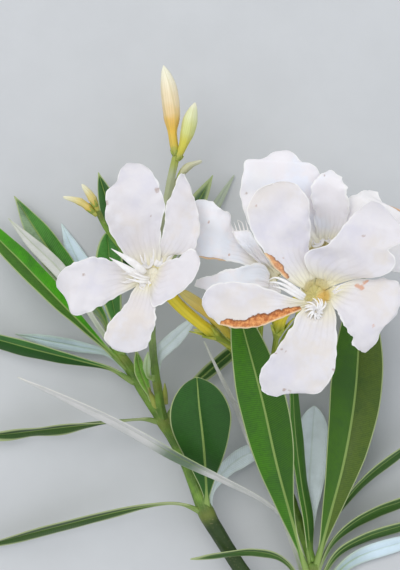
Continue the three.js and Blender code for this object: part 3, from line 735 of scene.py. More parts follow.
def leaf_finish(look, settings):
    left, right, pale, veins, edge = LOOKS[look]
    finish = Finish(look + " leaf", Specular_IOR_Level=0.22, Coat_Weight=0.04, Coat_Roughness=0.3)
    across, along, inwards = finish.stored_parts("leaf_place")
    rib, sky_sheen, stalk = finish.stored_parts("leaf_marks")
    slant = along - abs(across) * 0.45
    phase = slant * (tau * MM / settings.vein_pitch) + finish.spots(420.0, 2.0) * 1.1
    lines = phase.sine().step(-0.2, 1.0)
    patches = finish.spots(70.0, 3.0, 0.55)
    mottled = finish.spots(900.0, 2.0).step(0.4, 0.75, 0.0, 0.25)
    sheen = finish.spots(200.0, 3.0).step(0.2, 0.6, 0.86, 1.0)
    bare = 1.0 - sky_sheen * 0.88
    rib_colour = (*settings.rib_colour, 1)
    finish.paint(
        # The two halves' greens: the leaf's own tones, and painted light with one half lighter as if lit
        # and the other darker as if shaded
        left, (across.step(-1.0, 1.0), right), (patches.step(0.42, 0.7, 0.0, 0.5), "2b4c22"),
        (lines * (veins * 0.6), left, "SCREEN"), (mottled, "28441f"), (stalk, rib_colour),
        # Painted reflection of the pale sky: its colour covers the green where the sky sheen lies, and
        # there midrib and margin fade
        (sky_sheen * sheen, pale), (rib.step(0.75, 1.25, 0.85, 0.0) * bare, rib_colour),
        (inwards.step(edge * 0.3, edge, 0.8, 0.0) * bare, (*settings.margin_colour, 1)))
    finish.roughness(patches.step(0.3, 0.7, 0.38, 0.52))
    finish.bump(lines * 0.6 + finish.spots(1500.0, 2.0), 0.08, 0.7)
    return finish.material


def leaf_width(leaf, share):
    """A lance leaf is widest past its middle. A blunt one keeps its width almost to the end, and an
    even one all along."""
    late, full = (2.2, 0.6) if leaf.blunt else (1, 0.5) if leaf.even else (1.4, 1)
    swell = max(0.0, sin(pi * share ** late)) ** full
    return max(LEAF_TIP, PETIOLE_WIDTH * (1 - share), leaf.width * swell)


def make_leaf(name, leaf, settings, finish):
    course = grown_from(leaf.on, leaf.at, [placed(p) for p in leaf.line])
    wave, thickest = settings.waviness / MM, settings.thickness / MM
    seed = Vector((leaf.width, leaf.at * 10, leaf.roll))

    def place(spot):
        share = spot.y + 0.5
        margin = abs(spot.x) * 2
        across = copysign(margin ** 1.25, spot.x) / 2
        row = leaf_width(leaf, share)
        if across > 0:
            narrow = smooth_step(0.04, 0.16, share) - smooth_step(0.1, 0.5, share)
            row *= 1 - leaf.turned * max(0.0, narrow)
        offset = across * row
        half_rib = 0.52 * (1 - 0.75 * share) + 0.1
        # How far the painted sky reflection covers the leaf here; under it the midrib groove is shallower
        sky_sheen = profile(leaf.sky_sheen, share)
        along = course.along(share)
        up = upright(along, leaf.roll)
        lift = abs(offset) * 2 * LEAF_FOLD + LEAF_BULGE * row * sin(pi * margin)
        lift -= (RIB_GROOVE * (1 - 0.8 * sky_sheen) * smooth_step(0.05, 0.14, share)
                 * exp(-(offset / half_rib) ** 2))
        wavy = noise.noise(seed + Vector((share * 5, copysign(3, offset), 0)))
        lift += 2 * wave * leaf.wavy * margin ** 2 * wavy
        sway = 0.25 * margin * noise.noise(seed + Vector((share * 9, copysign(7, offset), 4)))
        point = course.at(share) + along.cross(up) * (offset + sway * min(1, row / 6)) + up * lift
        inwards = row / 2 - abs(offset) + 30 * max(0.0, 0.1 - share)
        petiole = 1 - smooth_step(PETIOLE_SHARE * 0.6, PETIOLE_SHARE * 1.6, share)
        ridge = exp(-(offset / (half_rib * 1.3)) ** 2)
        return (point, (offset, share * course.length, inwards),
                (abs(offset) / half_rib + leaf.plain, sky_sheen, petiole * 0.8),
                thickest * max(petiole, 0.42 + 0.4 * ridge * (1 - share) - 0.15 * margin))

    piece = copy_of(grid_template, name + "_blade", *LEAF_GRID)
    shaped(piece, place, "leaf_place", "leaf_marks", "thickness")
    finished(thickened(name + "_blade", [piece]), name, finish)


class OLEANDER_OT_leaves(Operator):
    """Make the leaves with midrib, side veins and margins"""

    bl_idname = "oleander.leaves"
    bl_label = "Leaves"

    def execute(self, context):
        settings = context.scene.oleander_leaves
        finishes = {look: leaf_finish(look, settings) for look in LOOKS}
        for name, leaf in LEAVES.items():
            make_leaf(name, leaf, settings, finishes[leaf.look])
        return {"FINISHED"}


# Flowers

class Petal(NamedTuple):
    """Runs between its left and right margins, from the throat or its own start height outwards.
    burn is a dried margin: its side, first and last share and width. fresh makes burns paler and
    freckles more orange. scale is the toothed blade over its base: reach, lean and lift."""

    heights: tuple
    cup: float
    tilt: float
    left: list
    right: list
    start: float = 0.0
    burn: tuple = ()
    fresh: float = 0.0
    folds: tuple = (0.42, 0.3)
    scale: tuple = ()
    fray: float = 1.2


class Strap(NamedTuple):
    """A toothed blade of the fringe that stands free."""

    line: list
    width: float
    teeth: int
    split: float
    fan: float
    slim: float


class Flower(NamedTuple):
    """on is its place on the stalk, and hollow how deep its throat is. freckles are spots: x, y and
    radius. tuft is the hairy middle: x, y, spread and number."""

    on: float
    pedicel: list
    calyx: tuple
    tube: list
    mouth: tuple
    heading: float
    rise: float
    freckles: list
    petals: list
    hollow: float = 1.0
    straps: tuple = ()
    tuft: tuple = ()


FLOWERS = {
    "flower_left": Flower(
        1, [], (5.6, -16.3, 27.5), [(-6.4, -6.8, 37)], (-16, 3.2, 50), 137, 54, hollow=0.14,
        straps=[
            Strap([(-17.9, 3, 50.2), (-21.4, 5.5, 53), (-25.6, 8.3, 54.4), (-30.5, 11.3, 54.8)], 5, 2, 0.35,
                0.2, 0.7),
            Strap([(-16, 1.6, 50), (-18.4, 1.8, 52.2), (-21, 2.6, 53), (-24, 3.8, 53)], 2.4, 3, 0.3, 1.6,
                0.8),
        ],
        freckles=[(-13.8, 30.4, 1.1), (-30.1, 26.2, 1.2), (-15.7, 22.2, 0.6), (-37.2, 3.4, 0.7)],
        petals=[
            Petal((53.5, 49), 1, 0, [(-19.8, 4.2), (-24, 9.3), (-28.2, 15.4), (-30.1, 20.8), (-30.4, 26.2),
                (-30.1, 29.8), (-26.6, 33.3), (-25.9, 36.8), (-23.4, 39)], [(-13, 5.6), (-12.4, 10),
                (-12.5, 14), (-12.4, 18.1), (-11.7, 22.4), (-10.9, 25.4), (-11.4, 27.4), (-12.5, 30.4),
                (-14.1, 34.6), (-16.3, 37.4), (-18.9, 38.7), (-22.1, 39)], folds=(0.7, 0.45),
                scale=(0.18, 0.1, 0.3)),
            Petal((52.5, 50), 0.6, -2, [(-14.6, 5.4), (-14, 10), (-13.2, 13.8), (-11.8, 18), (-11.2, 22.4),
                (-11.2, 25.2), (-10.2, 27.4), (-8.3, 32), (-6.7, 35.2), (-6.1, 35.8)], [(-9.6, 7),
                (-8.8, 8.8), (-7.9, 10), (-6.6, 9.8), (-5, 9.8), (-2.6, 10.8), (-0.4, 14.4), (-0.2, 22.4),
                (-1.3, 27.2), (-2.4, 29.2), (-2.8, 31.8), (-4.2, 33.4), (-5.1, 35.6)],
                scale=(0.18, 0.1, 0.3)),
            Petal((56.5, 58), 0.8, 2, [(-13.4, 5.4), (-11.2, 7.2), (-8.6, 8.5), (-6.6, 9.2), (-4.8, 10.9),
                (-2.2, 11.5), (-0.6, 9.9), (0, 8)], [(-16, -0.3), (-16, -4), (-15, -7.2), (-11.2, -5.6),
                (-7, -3.2), (-3.2, 0.3), (-1, 3.5), (0, 6.7)]),
            Petal((55.5, 54), 0.8, 0, [(-14.7, 0.3), (-13.8, -4.8), (-14.1, -8), (-14.1, -11.8),
                (-15.4, -16), (-16.6, -19.2), (-18.2, -20.8), (-20.8, -21.4), (-23, -21.8)], [(-18.9, 1.3),
                (-21.4, -1.6), (-23, -4.2), (-24.6, -6.7), (-27.2, -9.6), (-29.4, -12.8), (-30.7, -16),
                (-29.8, -18.6), (-27.2, -20.8), (-24.3, -21.4)], scale=(0.1, 0, 0.3)),
            Petal((51.5, 47.5), 0.8, 0, [(-19.2, 0.3), (-23, -1.9), (-26.2, -3.5), (-30.4, -5.8),
                (-34.2, -8), (-36.8, -9.3), (-41, -9.6), (-42.2, -6.4), (-43.5, -3.8), (-45.8, -1)],
                [(-20.5, 4.8), (-24, 6.4), (-27.2, 7.7), (-30.4, 8.6), (-33.6, 9), (-36.8, 8.6), (-40, 7.4),
                (-43.2, 5.8), (-45.1, 3.8), (-46.1, 1.3)], folds=(0.5, 0.4), scale=(0.2, -0.1, 0.3)),
        ]),
    "flower_middle": Flower(
        0.9, [], (19.8, -9.6, 28.5), [], (21.8, 6.4, 43), 100, 62,
        straps=[
            Strap([(14, 13.6, 46.4), (13.2, 16.6, 46.6), (12.6, 18.8, 46.6), (11.9, 20.8, 46.4)], 5.4, 5,
                0.1, 0.5, 0.5),
        ],
        freckles=[(9.3, 9.6, 0.6), (2.9, 20.1, 0.6)],
        petals=[
            Petal((45, 42), 0.8, 0, [(21, 4.6), (17, 5.4), (13.8, 6.6), (12.2, 7.3), (8, 7.7), (3.8, 8),
                (0, 8.6), (-3.2, 11.2), (-4.5, 16), (-4.2, 22.4)], [(17.9, 12.2), (15.4, 16.3),
                (12.2, 17.3), (9.9, 18.9), (9.8, 22.6), (7, 24.8), (3.8, 26.9), (0, 27.5), (-2.2, 26.9)],
                burn=("left", 0.36, 0.62, 0.9), fresh=0.5),
            Petal((46, 46.6), 0.2, 0, [(21.4, 4.8), (16.6, 9), (13, 12.6), (10, 17.2)], [(25, 5), (21, 9.6),
                (18.4, 13.4), (15.9, 17.6)], folds=(1.2, 0.5), fray=0.4),
            Petal((47, 46), 0.5, 0, [(21.9, -1), (17.6, -1.2), (12.2, -1.6), (6.4, -1.9), (1.6, -1.9),
                (-1.9, -0.4)], [(22.4, 3.6), (20.4, 6.6), (16, 6.7), (12.4, 5.9), (11.2, 5.4), (6.4, 4.2),
                (2.2, 2.9), (-1.1, 1.7)], start=45.6),
            Petal((45, 44), 0.5, 0, [(19.8, 10.6), (18.6, 14.6), (19.8, 17.6)], [(25, 9.6), (25.6, 14),
                (24.6, 17.6)]),
            Petal((44.5, 44), 0.5, 0, [(26.6, 8.6), (28.6, 9.6), (30.6, 8.6)], [(26.6, 3.5), (29.2, 3.4),
                (31, 5.4)]),
            Petal((45, 44), 0.5, 0, [(24.3, 1.6), (26.2, -2.2), (24.3, -5.4)], [(19.8, 1.6), (18.6, -2.2),
                (20.5, -5.4)]),
        ]),
    "flower_front": Flower(
        0.74, [(23.8, -20.8, 27)], (24.8, -15.2, 35), [(26.6, -9.4, 41), (31.6, -5, 46)], (37.8, -2.2, 60),
        50, 74, tuft=(-1.3, -6.5, 3.9, 17),
        straps=[
            Strap([(33.6, -4.2, 60.6), (31, -2.6, 62), (27.4, -0.3, 62.8), (24.4, 0.9, 62.6),
                (21.4, 0.9, 61.6)], 3, 3, 0.4, 1.6, 0.8),
            Strap([(42.6, -2.6, 61), (44.4, -1.2, 63.6), (46, -0.4, 64.8), (47.2, -0.8, 65)], 1.6, 2, 0.2,
                1.8, 0.6),
        ],
        freckles=[(50.4, -0.3, 1.0), (51.8, -1, 1.1), (52.6, 0.5, 0.9), (53.4, 1.2, 0.7),
            (55.4, -13.1, 0.6), (25.9, -20.3, 0.7), (24.4, -21.8, 0.6), (27.3, -21.4, 0.7),
            (42.9, -27.4, 0.8), (27, -33.5, 0.8), (28.8, -33.8, 0.7), (49.7, 24.9, 0.6), (53, 27, 0.6),
            (52.2, 15.5, 0.7), (17.6, 25.3, 0.6), (30.4, 26.7, 0.5), (26.4, 8.9, 0.6)],
        petals=[
            Petal((64, 66), 1, -3, [(32, -1), (27.2, 2.2), (22.4, 7.4), (19.2, 12.2), (16.6, 17),
                (15, 22.4), (15.4, 26.2), (17, 29.1), (19.8, 31.4), (22.7, 32.3)], [(36.6, 1), (36.8, 4.2),
                (35.8, 8), (34.9, 11.6), (35.4, 15), (35.8, 18.4), (35.4, 21.6), (35.5, 25), (34.9, 27.4),
                (33.3, 30), (31, 32.3), (28.2, 33), (25, 33)], burn=("left", 0.11, 0.37, 2.8), fresh=0.25),
            Petal((62.5, 60), 1, 2, [(34.9, -7), (32, -8.3), (28.8, -9.6), (25.6, -10.9), (21.8, -12.5),
                (17.6, -13.8), (12.8, -14.1), (9, -13.4), (5.8, -12.5), (2.6, -9.9), (0.6, -6.4)],
                [(34, -5.2), (28.6, -3.8), (24.2, -1.8), (21, -0.8), (17.4, 0.3), (12.8, 1.2), (8, 1.3),
                (4.2, 0), (1.9, -1.9), (0.6, -4.5)], burn=("left", 0.05, 0.78, 4.1)),
            Petal((64, 60), 1, 0, [(41.3, -4.8), (42.9, -7.4), (43.8, -11.2), (43.8, -16), (43.8, -20.8),
                (43.8, -24.6), (42.9, -27.8), (41.6, -31), (40, -33), (37.8, -34.9), (32, -34.6),
                (27.2, -34.9), (24.3, -35.8)], [(35.5, -5.8), (32.8, -7.8), (30.9, -9.6), (30.1, -11.6),
                (28.4, -14.7), (25.9, -17.9), (23.4, -21.8), (20.8, -24.3), (19.5, -27.8), (18.9, -31.7),
                (19.8, -33.9), (21.8, -35.2)]),
            Petal((63, 60), 1, 0, [(43.5, -0.4), (49.6, 1.8), (56, 2.1), (61.8, 2.2), (64.6, -0.3),
                (64.6, -5.1), (63, -9.6), (60.8, -11.8), (57.9, -14.4), (57.3, -17), (55.7, -19.2),
                (53.1, -21.8)], [(41.3, -4.8), (43.2, -8), (45.4, -11.2), (47, -14.4), (48.3, -17.6),
                (49.6, -20.2), (51.8, -21.4)], fresh=1.0, fray=1.8),
            Petal((66.6, 63), 1.6, -1, [(37.4, 1.8), (34.6, 4.6), (33.3, 8), (34.2, 10.8), (37.4, 11.9),
                (40.6, 12.8), (42.4, 14.6), (44.2, 17.2), (46.7, 20.2), (49.6, 23.4), (52.5, 25.9),
                (54.7, 27.2)], [(43.8, 0.3), (50.2, 2), (55.6, 2.2), (59.4, 3.2), (62, 5.4), (62.9, 7.8),
                (61.9, 9.6), (60.2, 11.2), (64.6, 13.4), (66, 16.4), (63.6, 20), (60.4, 23.7),
                (57.6, 26.2)]),
        ]),
    "flower_back": Flower(
        0.82, [(27.2, -16.6, 23)], (32, -10.6, 27), [], (39, 11.2, 45), 75, 62,
        freckles=[(14.3, 29.5, 0.9), (39.8, 34.9, 0.5), (46.7, 28.5, 0.5)],
        petals=[
            Petal((48, 46.5), 1, 0, [(35.2, 10.6), (28.2, 13.4), (19.8, 15.7), (15.7, 19.2), (13.1, 24.6),
                (12.8, 31), (13.2, 35.2), (13.8, 37.6), (14.5, 40.2), (15.2, 40.4), (17.6, 40),
                (20.5, 40.6), (22.4, 41.8), (24.1, 42.8), (25.6, 42.5)], [(41, 14), (42.6, 22.4),
                (41.9, 28.8), (40.4, 33.2), (39, 35.7), (37.8, 37.2), (35.1, 39.2), (33.1, 39.1),
                (32, 39.9), (30.6, 41.8), (29, 42.9), (27.6, 43.2)], scale=(0.08, 0, 0.3)),
            Petal((49.6, 49), 0.8, 0, [(37.5, 13.4), (36.5, 20.8), (35.5, 27.2), (35.5, 31.4), (37.1, 33.9),
                (39, 35.5), (41, 36.8)], [(43.4, 14), (47.4, 20.2), (48, 25), (47.4, 28.2), (46.4, 31),
                (45.4, 33.9), (43.8, 35.2), (42.6, 36.8)], scale=(0.08, 0, 0.3), fray=2.8),
            Petal((47, 45), 0.8, 0, [(42.6, 14.6), (46.4, 21.4), (47, 25.3), (47.7, 27.8), (49.6, 28.8),
                (51.8, 30.1), (53.8, 30.4)], [(44, 11.4), (56, 13.1), (64, 15), (68.4, 18.6), (67.8, 21.8),
                (64, 24), (60.6, 25.3), (58, 26.4), (57.3, 28), (56.2, 30)], burn=("right", 0.5, 0.88, 3.2),
                fresh=0.6, fray=1.6),
            Petal((46, 44), 0.8, 0, [(44, 12.4), (57.6, 18.2), (67.2, 17), (73, 12.8)], [(43.4, 8.4),
                (56, 5.4), (65.6, 4.2), (72.3, 8)]),
            Petal((45, 43), 0.5, 0, [(42.2, 7.6), (45, 3), (43, -1.6)], [(36.5, 7.6), (36, 3), (39, -1.6)]),
        ]),
}

# Warm tone, cool tone and how light the petals of each flower are. Besides the petals' own tones this is
# painted light: the middle and back flowers, which lie in shade, get whiter, bluer tones and more
# lightness, and the lit left and front flowers darker, warmer ones.
PETAL_TONES_AND_PAINTED_LIGHT = {
    "flower_left": ("ddd4ce", "d8d4db", 0.88),
    "flower_middle": ("f2f1f6", "eef2fc", 1.08),
    "flower_front": ("ddd5cf", "d8d4dc", 0.88),
    "flower_back": ("eeeae9", "eceef8", 1.02),
}


# How far from its middle the glow is full and gone, and its heading in the plan
GLOW_REACH = (1.4 * MM, 3.4 * MM)
GLOW_HEADING = -20


def glow_layer(finish, spot):
    """The warm patch in the front flower's throat, fading round its middle."""
    away = finish.node("VectorMath", {0: finish.place(), 1: spot}, "Value", operation="DISTANCE")
    return away.step(*GLOW_REACH, 0.85, 0.0), "dcb45c"


def petal_finish(flower, settings, warm):
    """White petals: a cream throat, soft folds darkened by painted shade, dried margins and small brown
    spots.
    """
    # The flower's tones and lightness hold painted light: whiter for the flowers in shade, darker for the
    # lit ones
    first, second, light = PETAL_TONES_AND_PAINTED_LIGHT[flower]
    finish = Finish(flower + " petal", Roughness=0.55, Specular_IOR_Level=0.3, Sheen_Weight=0.1,
                    **glow(0.2, 0.002))
    reach, across, inwards = finish.stored_parts("petal_place")
    burn, spot, fresh = finish.stored_parts("petal_marks")
    white = (*(light * part for part in settings.petal_colour), 1)
    # Grey lines that fan out from the throat: soft folds, darkened as painted shade in them, and the same
    # lines raise the bump
    fan = (across * 24.0 + finish.spots(220.0, 3.0) * 5.0).sine()
    veins = fan.step(0.1, 1.0) * reach.step(0.05, 0.5, 0.22, 0.0)
    grain = finish.spots(900.0, 4.0, 0.7)
    tears = finish.spots(260.0, 3.0, 0.6)
    speckled = spot + (grain - 0.5) * 1.2
    ragged = burn + (tears - 0.5) * 1.1
    dried = ragged.step(0.06, 0.16)
    brown = finish.layered(
        "b0602c", (grain.step(0.35, 0.66), "e8a060"), (ragged.step(0.14, 0.42, 0.85, 0.0), "74401f"),
        (inwards.step(0.15, 0.8, 0.85, 0.0), "ecd2ac"), (fresh, "e6c4a2"))
    finish.paint(
        first, (finish.spots(45.0, 2.0).step(0.38, 0.66), second),
        (finish.spots(110.0, 3.0, 0.6).step(0.4, 0.62), white),
        (reach.step(0.0, 0.26, 0.85, 0.0), (*settings.throat_colour, 1)), (veins, "b9b2ae"),
        (inwards.step(0.1, 0.7, 0.6, 0.0) * reach.step(0.04, 0.2), "fbfaf4"),
        (reach.step(-0.11, 0.07, 0.9, 0.0), "dfd296"), glow_layer(finish, warm),
        (speckled.step(0.4, 0.95, 0.0, 0.7), finish.layered("a98e80", (fresh, "cf8a60"))),
        (dried, brown))
    finish.bump(finish.spots(380.0, 3.0) * 0.5 + tears * (dried * 3.0) + veins, 0.3, 0.7)
    return finish.material


def throat_finish(warm):
    """The tube of a flower from its green foot to its cream mouth, with a warm glow inside, and paler
    inside a shallow throat: painted light that lifts the shade in its hollow.
    """
    finish = Finish("flower throat", Roughness=0.5, **glow(0.3, 0.0025))
    share, turn, _ = finish.stored_parts("limb_place")
    inner, grown, shallow = finish.stored_parts("throat_marks")
    lines = (turn * (20 * pi)).sine().step(-0.2, 1.0)
    tube = finish.layered("ecd832", (share.step(0.72, 0.98), "efecd2"))
    # Inside a shallow throat the colour turns paler: painted light that lifts the shade in its hollow
    inside = finish.layered(
        "f2eed0", (inner.step(0.2, 1.0), "e3dc9c"), (lines * 0.3, "cfc878"), glow_layer(finish, warm),
        (shallow, "e9e3d3"))
    finish.paint("98aa3a", (grown.step(0.0, 1.0), tube), (lines * 0.2, "b8ac38"),
                 (inner.step(0.0, 0.1), inside))
    finish.bump(lines + finish.spots(700.0, 2.0), 0.12, 0.6)
    return finish.material


def plain_finish(name, first, second, scale, roughness, soft=0.2):
    """A slightly mottled living tissue."""
    finish = Finish(name, Roughness=roughness, **glow(soft, 0.001))
    finish.paint(first, (finish.spots(scale, 3.0, 0.6).step(0.35, 0.65), second))
    finish.bump(finish.spots(scale * 4, 3.0), 0.08, 0.6)
    return finish.material


# The hairy anthers fill the throat, so it is a bowl: depth and radius, in millimetres
BOWL = [(0, 4.9), (2, 4.0), (4, 2.5), (5.2, 0.4)]


class Trumpet:
    """The middle line of a flower, from its stalk through the calyx to the mouth."""

    def __init__(self, flower):
        rise = radians(flower.rise)
        self.facing = level_way(flower.heading) * cos(rise) + UP * sin(rise)
        self.lip = placed(flower.mouth)
        self.hollow = flower.hollow
        to_calyx = [placed(p) for p in (*flower.pedicel, flower.calyx)]
        back = self.lip - self.facing * THROAT_DEPTH
        line = [*to_calyx, *map(placed, flower.tube), back, self.lip]
        self.course = grown_from("flower_stalk", flower.on, line)
        self.calyx_at = grown_from("flower_stalk", flower.on, to_calyx).length / self.course.length

    def behind(self, depth):
        return 1 - depth / self.course.length

    def outer_radius(self, share):
        return profile([
            (0, PEDICEL_RADIUS), (self.calyx_at - 0.05, PEDICEL_RADIUS),
            (self.calyx_at + 0.02, CALYX_RADIUS), (self.calyx_at + 0.12, TUBE_RADIUS),
            (self.behind(THROAT_DEPTH + 3), TUBE_RADIUS * 1.1),
            (self.behind(THROAT_DEPTH), TUBE_RADIUS * 1.4),
            (self.behind(5), THROAT_RADIUS * 0.72), (1, THROAT_RADIUS)], share)

    def wall(self, direction, depth):
        """A point on the inside of the throat, that deep, on the side of direction."""
        return self.lip - self.facing * depth * self.hollow + direction * profile(BOWL, depth)

    def across(self, vector):
        """The direction of a vector, laid into the plane of the mouth."""
        return square_to(vector, self.facing)


class PetalSheet:
    """The sheet of one petal, read by its place across and its share from throat to tip."""

    def __init__(self, petal, trumpet):
        self.petal, self.trumpet = petal, trumpet
        self.left, self.right = (Course([Vector((*p, 0)) for p in side])
                                 for side in (petal.left, petal.right))
        self.seed = Vector((*petal.left[1], petal.heights[0]))

    def plan(self, across, share):
        """The place in the plan, and the width of the petal there."""
        left_spot, right_spot = self.left.at(share), self.right.at(share)
        return left_spot.lerp(right_spot, across + 0.5), left_spot - right_spot

    def height(self, spot, across, share):
        lip, facing = self.trumpet.lip, self.trumpet.facing
        middle, end = self.petal.heights
        out = placed((spot.x, spot.y, lip.z)) - lip
        start = self.petal.start or lip.z - 1 - (out.x * facing.x + out.y * facing.y) / facing.z
        height = start * (1 - share) * (1 - 2 * share) + middle * 4 * share * (1 - share)
        height += end * share * (2 * share - 1)
        height += self.petal.cup * (2 * across) ** 2 * sin(pi * min(1, share + 0.1))
        return height + self.petal.tilt * across * share

    def above(self, across, share, lift):
        """A point that far above the sheet."""
        spot, _ = self.plan(across, share)
        return placed((spot.x, spot.y, self.height(spot, across, share) + lift))

    def ripple(self, spot, level, scale):
        return noise.noise(self.seed + Vector((spot.x, spot.y, level)) * scale)

    def folds(self, across, share):
        """Soft folds that run out from the throat and fade."""
        wander = 1.6 * noise.noise(self.seed + Vector((across * 3, share * 2.5, 0)))
        reach, depth = self.petal.folds
        fade = depth * (1 - smooth_step(0.05, reach, share))
        return fade * cos(5 * pi * across + 3 * wander) * (1 - abs(across))

    def frayed(self, spot, width, margin, share):
        """Moves a point near the margin in or out, as torn and crimped margins have it."""
        if width.length < 0.5:
            return spot
        size = self.petal.fray * smooth_step(0.08, 0.3, share) * margin ** 5
        way = copysign(size, (spot - self.plan(0, share)[0]).dot(width))
        tear = 0.65 * self.ripple(spot, 3, 0.45) + 0.5 * self.ripple(spot, 5, 1.3) - 0.1
        return spot + width.normalized() * way * tear


def burn_level(petal, row, across, share):
    """1 at the dried margin, 0 where the burn ends, and below that inside the sound petal."""
    if not petal.burn:
        return -1.0
    side, first, last, width = petal.burn
    if not first <= share <= last:
        return -1.0
    depth = row * (0.5 + across if side == "left" else 0.5 - across)
    band = width * max(sin(pi * (share - first) / (last - first)), 0.001) ** 0.45
    return max(1 - depth / band, -1.0)


def make_petal(name, petal, trumpet, freckles, settings):
    sheet = PetalSheet(petal, trumpet)
    ruffle, thickest = settings.ruffle / MM, settings.petal_thickness / MM
    slight = min(1, (sheet.left.at(0.5) - sheet.right.at(0.5)).length / 6)
    length = max(sheet.left.length, sheet.right.length)
    root = 0.0 if petal.start else PETAL_ROOT

    def place(corner):
        across, run = corner.x, corner.y + 0.5
        share = max(0.0, (run - root) / (1 - root))
        margin = abs(2 * across)
        spot, width = sheet.plan(across, share)
        spot = sheet.frayed(spot, width, margin, share)
        row = width.length
        wave, crimp = sheet.ripple(spot, 0, 0.16), sheet.ripple(spot, 9, 0.42)
        free = smooth_step(0.1, 0.5, share)
        height = sheet.height(spot, across, share) + sheet.folds(across, share)
        height += free * ruffle * (1.6 * wave + 1.7 * crimp * margin ** 3)
        height -= 0.8 * smooth_step(0.86, 1, max(margin, share)) * free * (0.3 + wave)
        burn = burn_level(petal, row, across, share)
        if burn > -0.2:
            height += 0.5 * noise.noise(Vector((spot.x, spot.y, 1)) * 0.9) * min(1, burn + 0.6)
        point = placed((spot.x, spot.y, height))
        if run < root:
            point = trumpet.wall(trumpet.across(point - trumpet.lip), ROOT_DEPTH * (1 - run / root) + 0.2)
        reach = (run - root) / (1 - root) if root else 0.2 + 0.8 * share
        speck = max((1 - smooth_step(r * 0.3, r * 1.5, hypot(spot.x - x, spot.y - y))
                     for x, y, r in freckles), default=0.0)
        return (point, (reach, across * 2, min(row * (1 - margin) / 2, (1 - share) * length)),
                (burn, speck, petal.fresh),
                thickest * (0.35 + 0.65 * (1 - margin ** 2) * (1 - 0.5 * share) * slight))

    piece = copy_of(grid_template, name, *PETAL_GRID)
    return shaped(piece, place, "petal_place", "petal_marks", "thickness")


def make_throat(name, trumpet):
    """Pedicel, calyx, tube and funnel as one skin that turns back into the throat."""
    rings = OUTER_RINGS + INNER_RINGS
    course, deepest = trumpet.course, BOWL[-1][0]
    frames = carried_frames(course, OUTER_RINGS)

    def place(spot):
        k = round((spot.z + 0.5) * rings)
        angle, centre = atan2(spot.y, spot.x), hypot(spot.x, spot.y)
        share = min(k, OUTER_RINGS) / OUTER_RINGS
        deep = max(k - OUTER_RINGS, 0) / INNER_RINGS
        normal, side = frames[min(k, OUTER_RINGS)]
        direction = normal * cos(angle) + side * sin(angle)
        lobes = 0.3 * cos(5 * angle)
        if deep:
            wide = profile(BOWL, deep * deepest) + 0.4 + lobes * (1 - deep)
            middle = trumpet.lip - trumpet.facing * (deepest * deep * trumpet.hollow)
        else:
            wide = trumpet.outer_radius(share) + lobes * smooth_step(trumpet.behind(6), 1, share)
            middle = course.at(share)
        grown = smooth_step(trumpet.calyx_at, trumpet.calyx_at + 0.15, share)
        # The third mark, how shallow the throat is, pales its inside: painted light
        return (middle + direction * wide * centre, (share, angle / tau + 0.5, share * course.length),
                (deep, grown, 1 - trumpet.hollow))

    piece = copy_of(limb_template, name, THROAT_SIDES, rings)
    shaped(piece, place, "limb_place", "throat_marks")
    round_off(piece)
    return piece


def make_calyx(name, course, at, radius, size, width=2.2, spread=0.25):
    """Pointed sepals that stand round the foot of a tube or bud."""
    pieces = []
    foot, along = course.at(at), course.along(at)
    for k in range(SEPALS):
        out = Matrix.Rotation(tau * k / SEPALS + SEPAL_TURN, 3, along) @ any_square(along)
        reach = size * (0.85 + 0.3 * (k % 2))
        line = [foot + out * radius * 0.55 - along * 0.6,
                foot + out * radius * 1.12 + along * reach * 0.35,
                foot + out * (radius * 1.12 + spread * reach * 0.5) + along * reach * 0.75,
                foot + out * (radius * 1.05 + spread * reach) + along * reach]
        pieces.append(blade(name, Course(line),
                            lambda s: width * max(0.06, 1 - s ** 1.6) * min(1, 0.5 + 2 * s),
                            out, SEPAL_THICKNESS, 4, 8, bend=0.22))
    return thickened(name, pieces)


def strap(name, line, rise, width, teeth, split, fan, slim=1.0):
    """A scale of the fringe: narrow blades side by side that part into pointed teeth."""
    course = Course(line, 8)
    root = width / teeth * 1.3 * slim
    pieces = []
    for k in range(teeth):
        place = (k - (teeth - 1) / 2) / teeth
        reach = 1 - 0.22 * abs(place) - 0.1 * sin(5.1 * k + line[0].x)
        path = []
        for step in range(STRAP_STEPS + 1):
            share = step / STRAP_STEPS * reach
            along = course.along(share)
            up = square_to(rise, along)
            parted = smooth_step(split * 0.8, 1, share)
            offset = place * (width * (0.6 + 0.4 * min(1, share * 3)) + fan * parted)
            lift = 0.12 * cos(3 * k + line[0].y) * (0.4 + parted) + 0.3 * parted * sin(2.3 * k)
            path.append(course.at(share) + along.cross(up) * offset + up * lift)
        pieces.append(blade(name, Course(path, 4),
                            lambda s: root * (1 - smooth_step(split, 1.05, s)) ** 0.8 + 0.1,
                            rise, 0.3, 2, 10, bend=0.1))
    return pieces


def petal_scale(name, petal, trumpet):
    """The scale that stands in front of one petal and splits into teeth over its base."""
    sheet = PetalSheet(petal, trumpet)
    reach, lean, lift = petal.scale
    root = trumpet.across(sheet.above(0, 0, 0) - trumpet.lip)
    line = [trumpet.wall(root, 3), trumpet.wall(root, 0.4) + trumpet.facing * 0.6,
            sheet.above(0.3 * lean, reach * 0.2, lift), sheet.above(0.7 * lean, reach * 0.6, lift * 1.1),
            sheet.above(lean, reach, lift * 0.7)]
    rise = (trumpet.facing + UP).normalized()
    return strap(name, line, rise, SCALE_WIDTH, SCALE_TEETH, 0.5, 1.8)


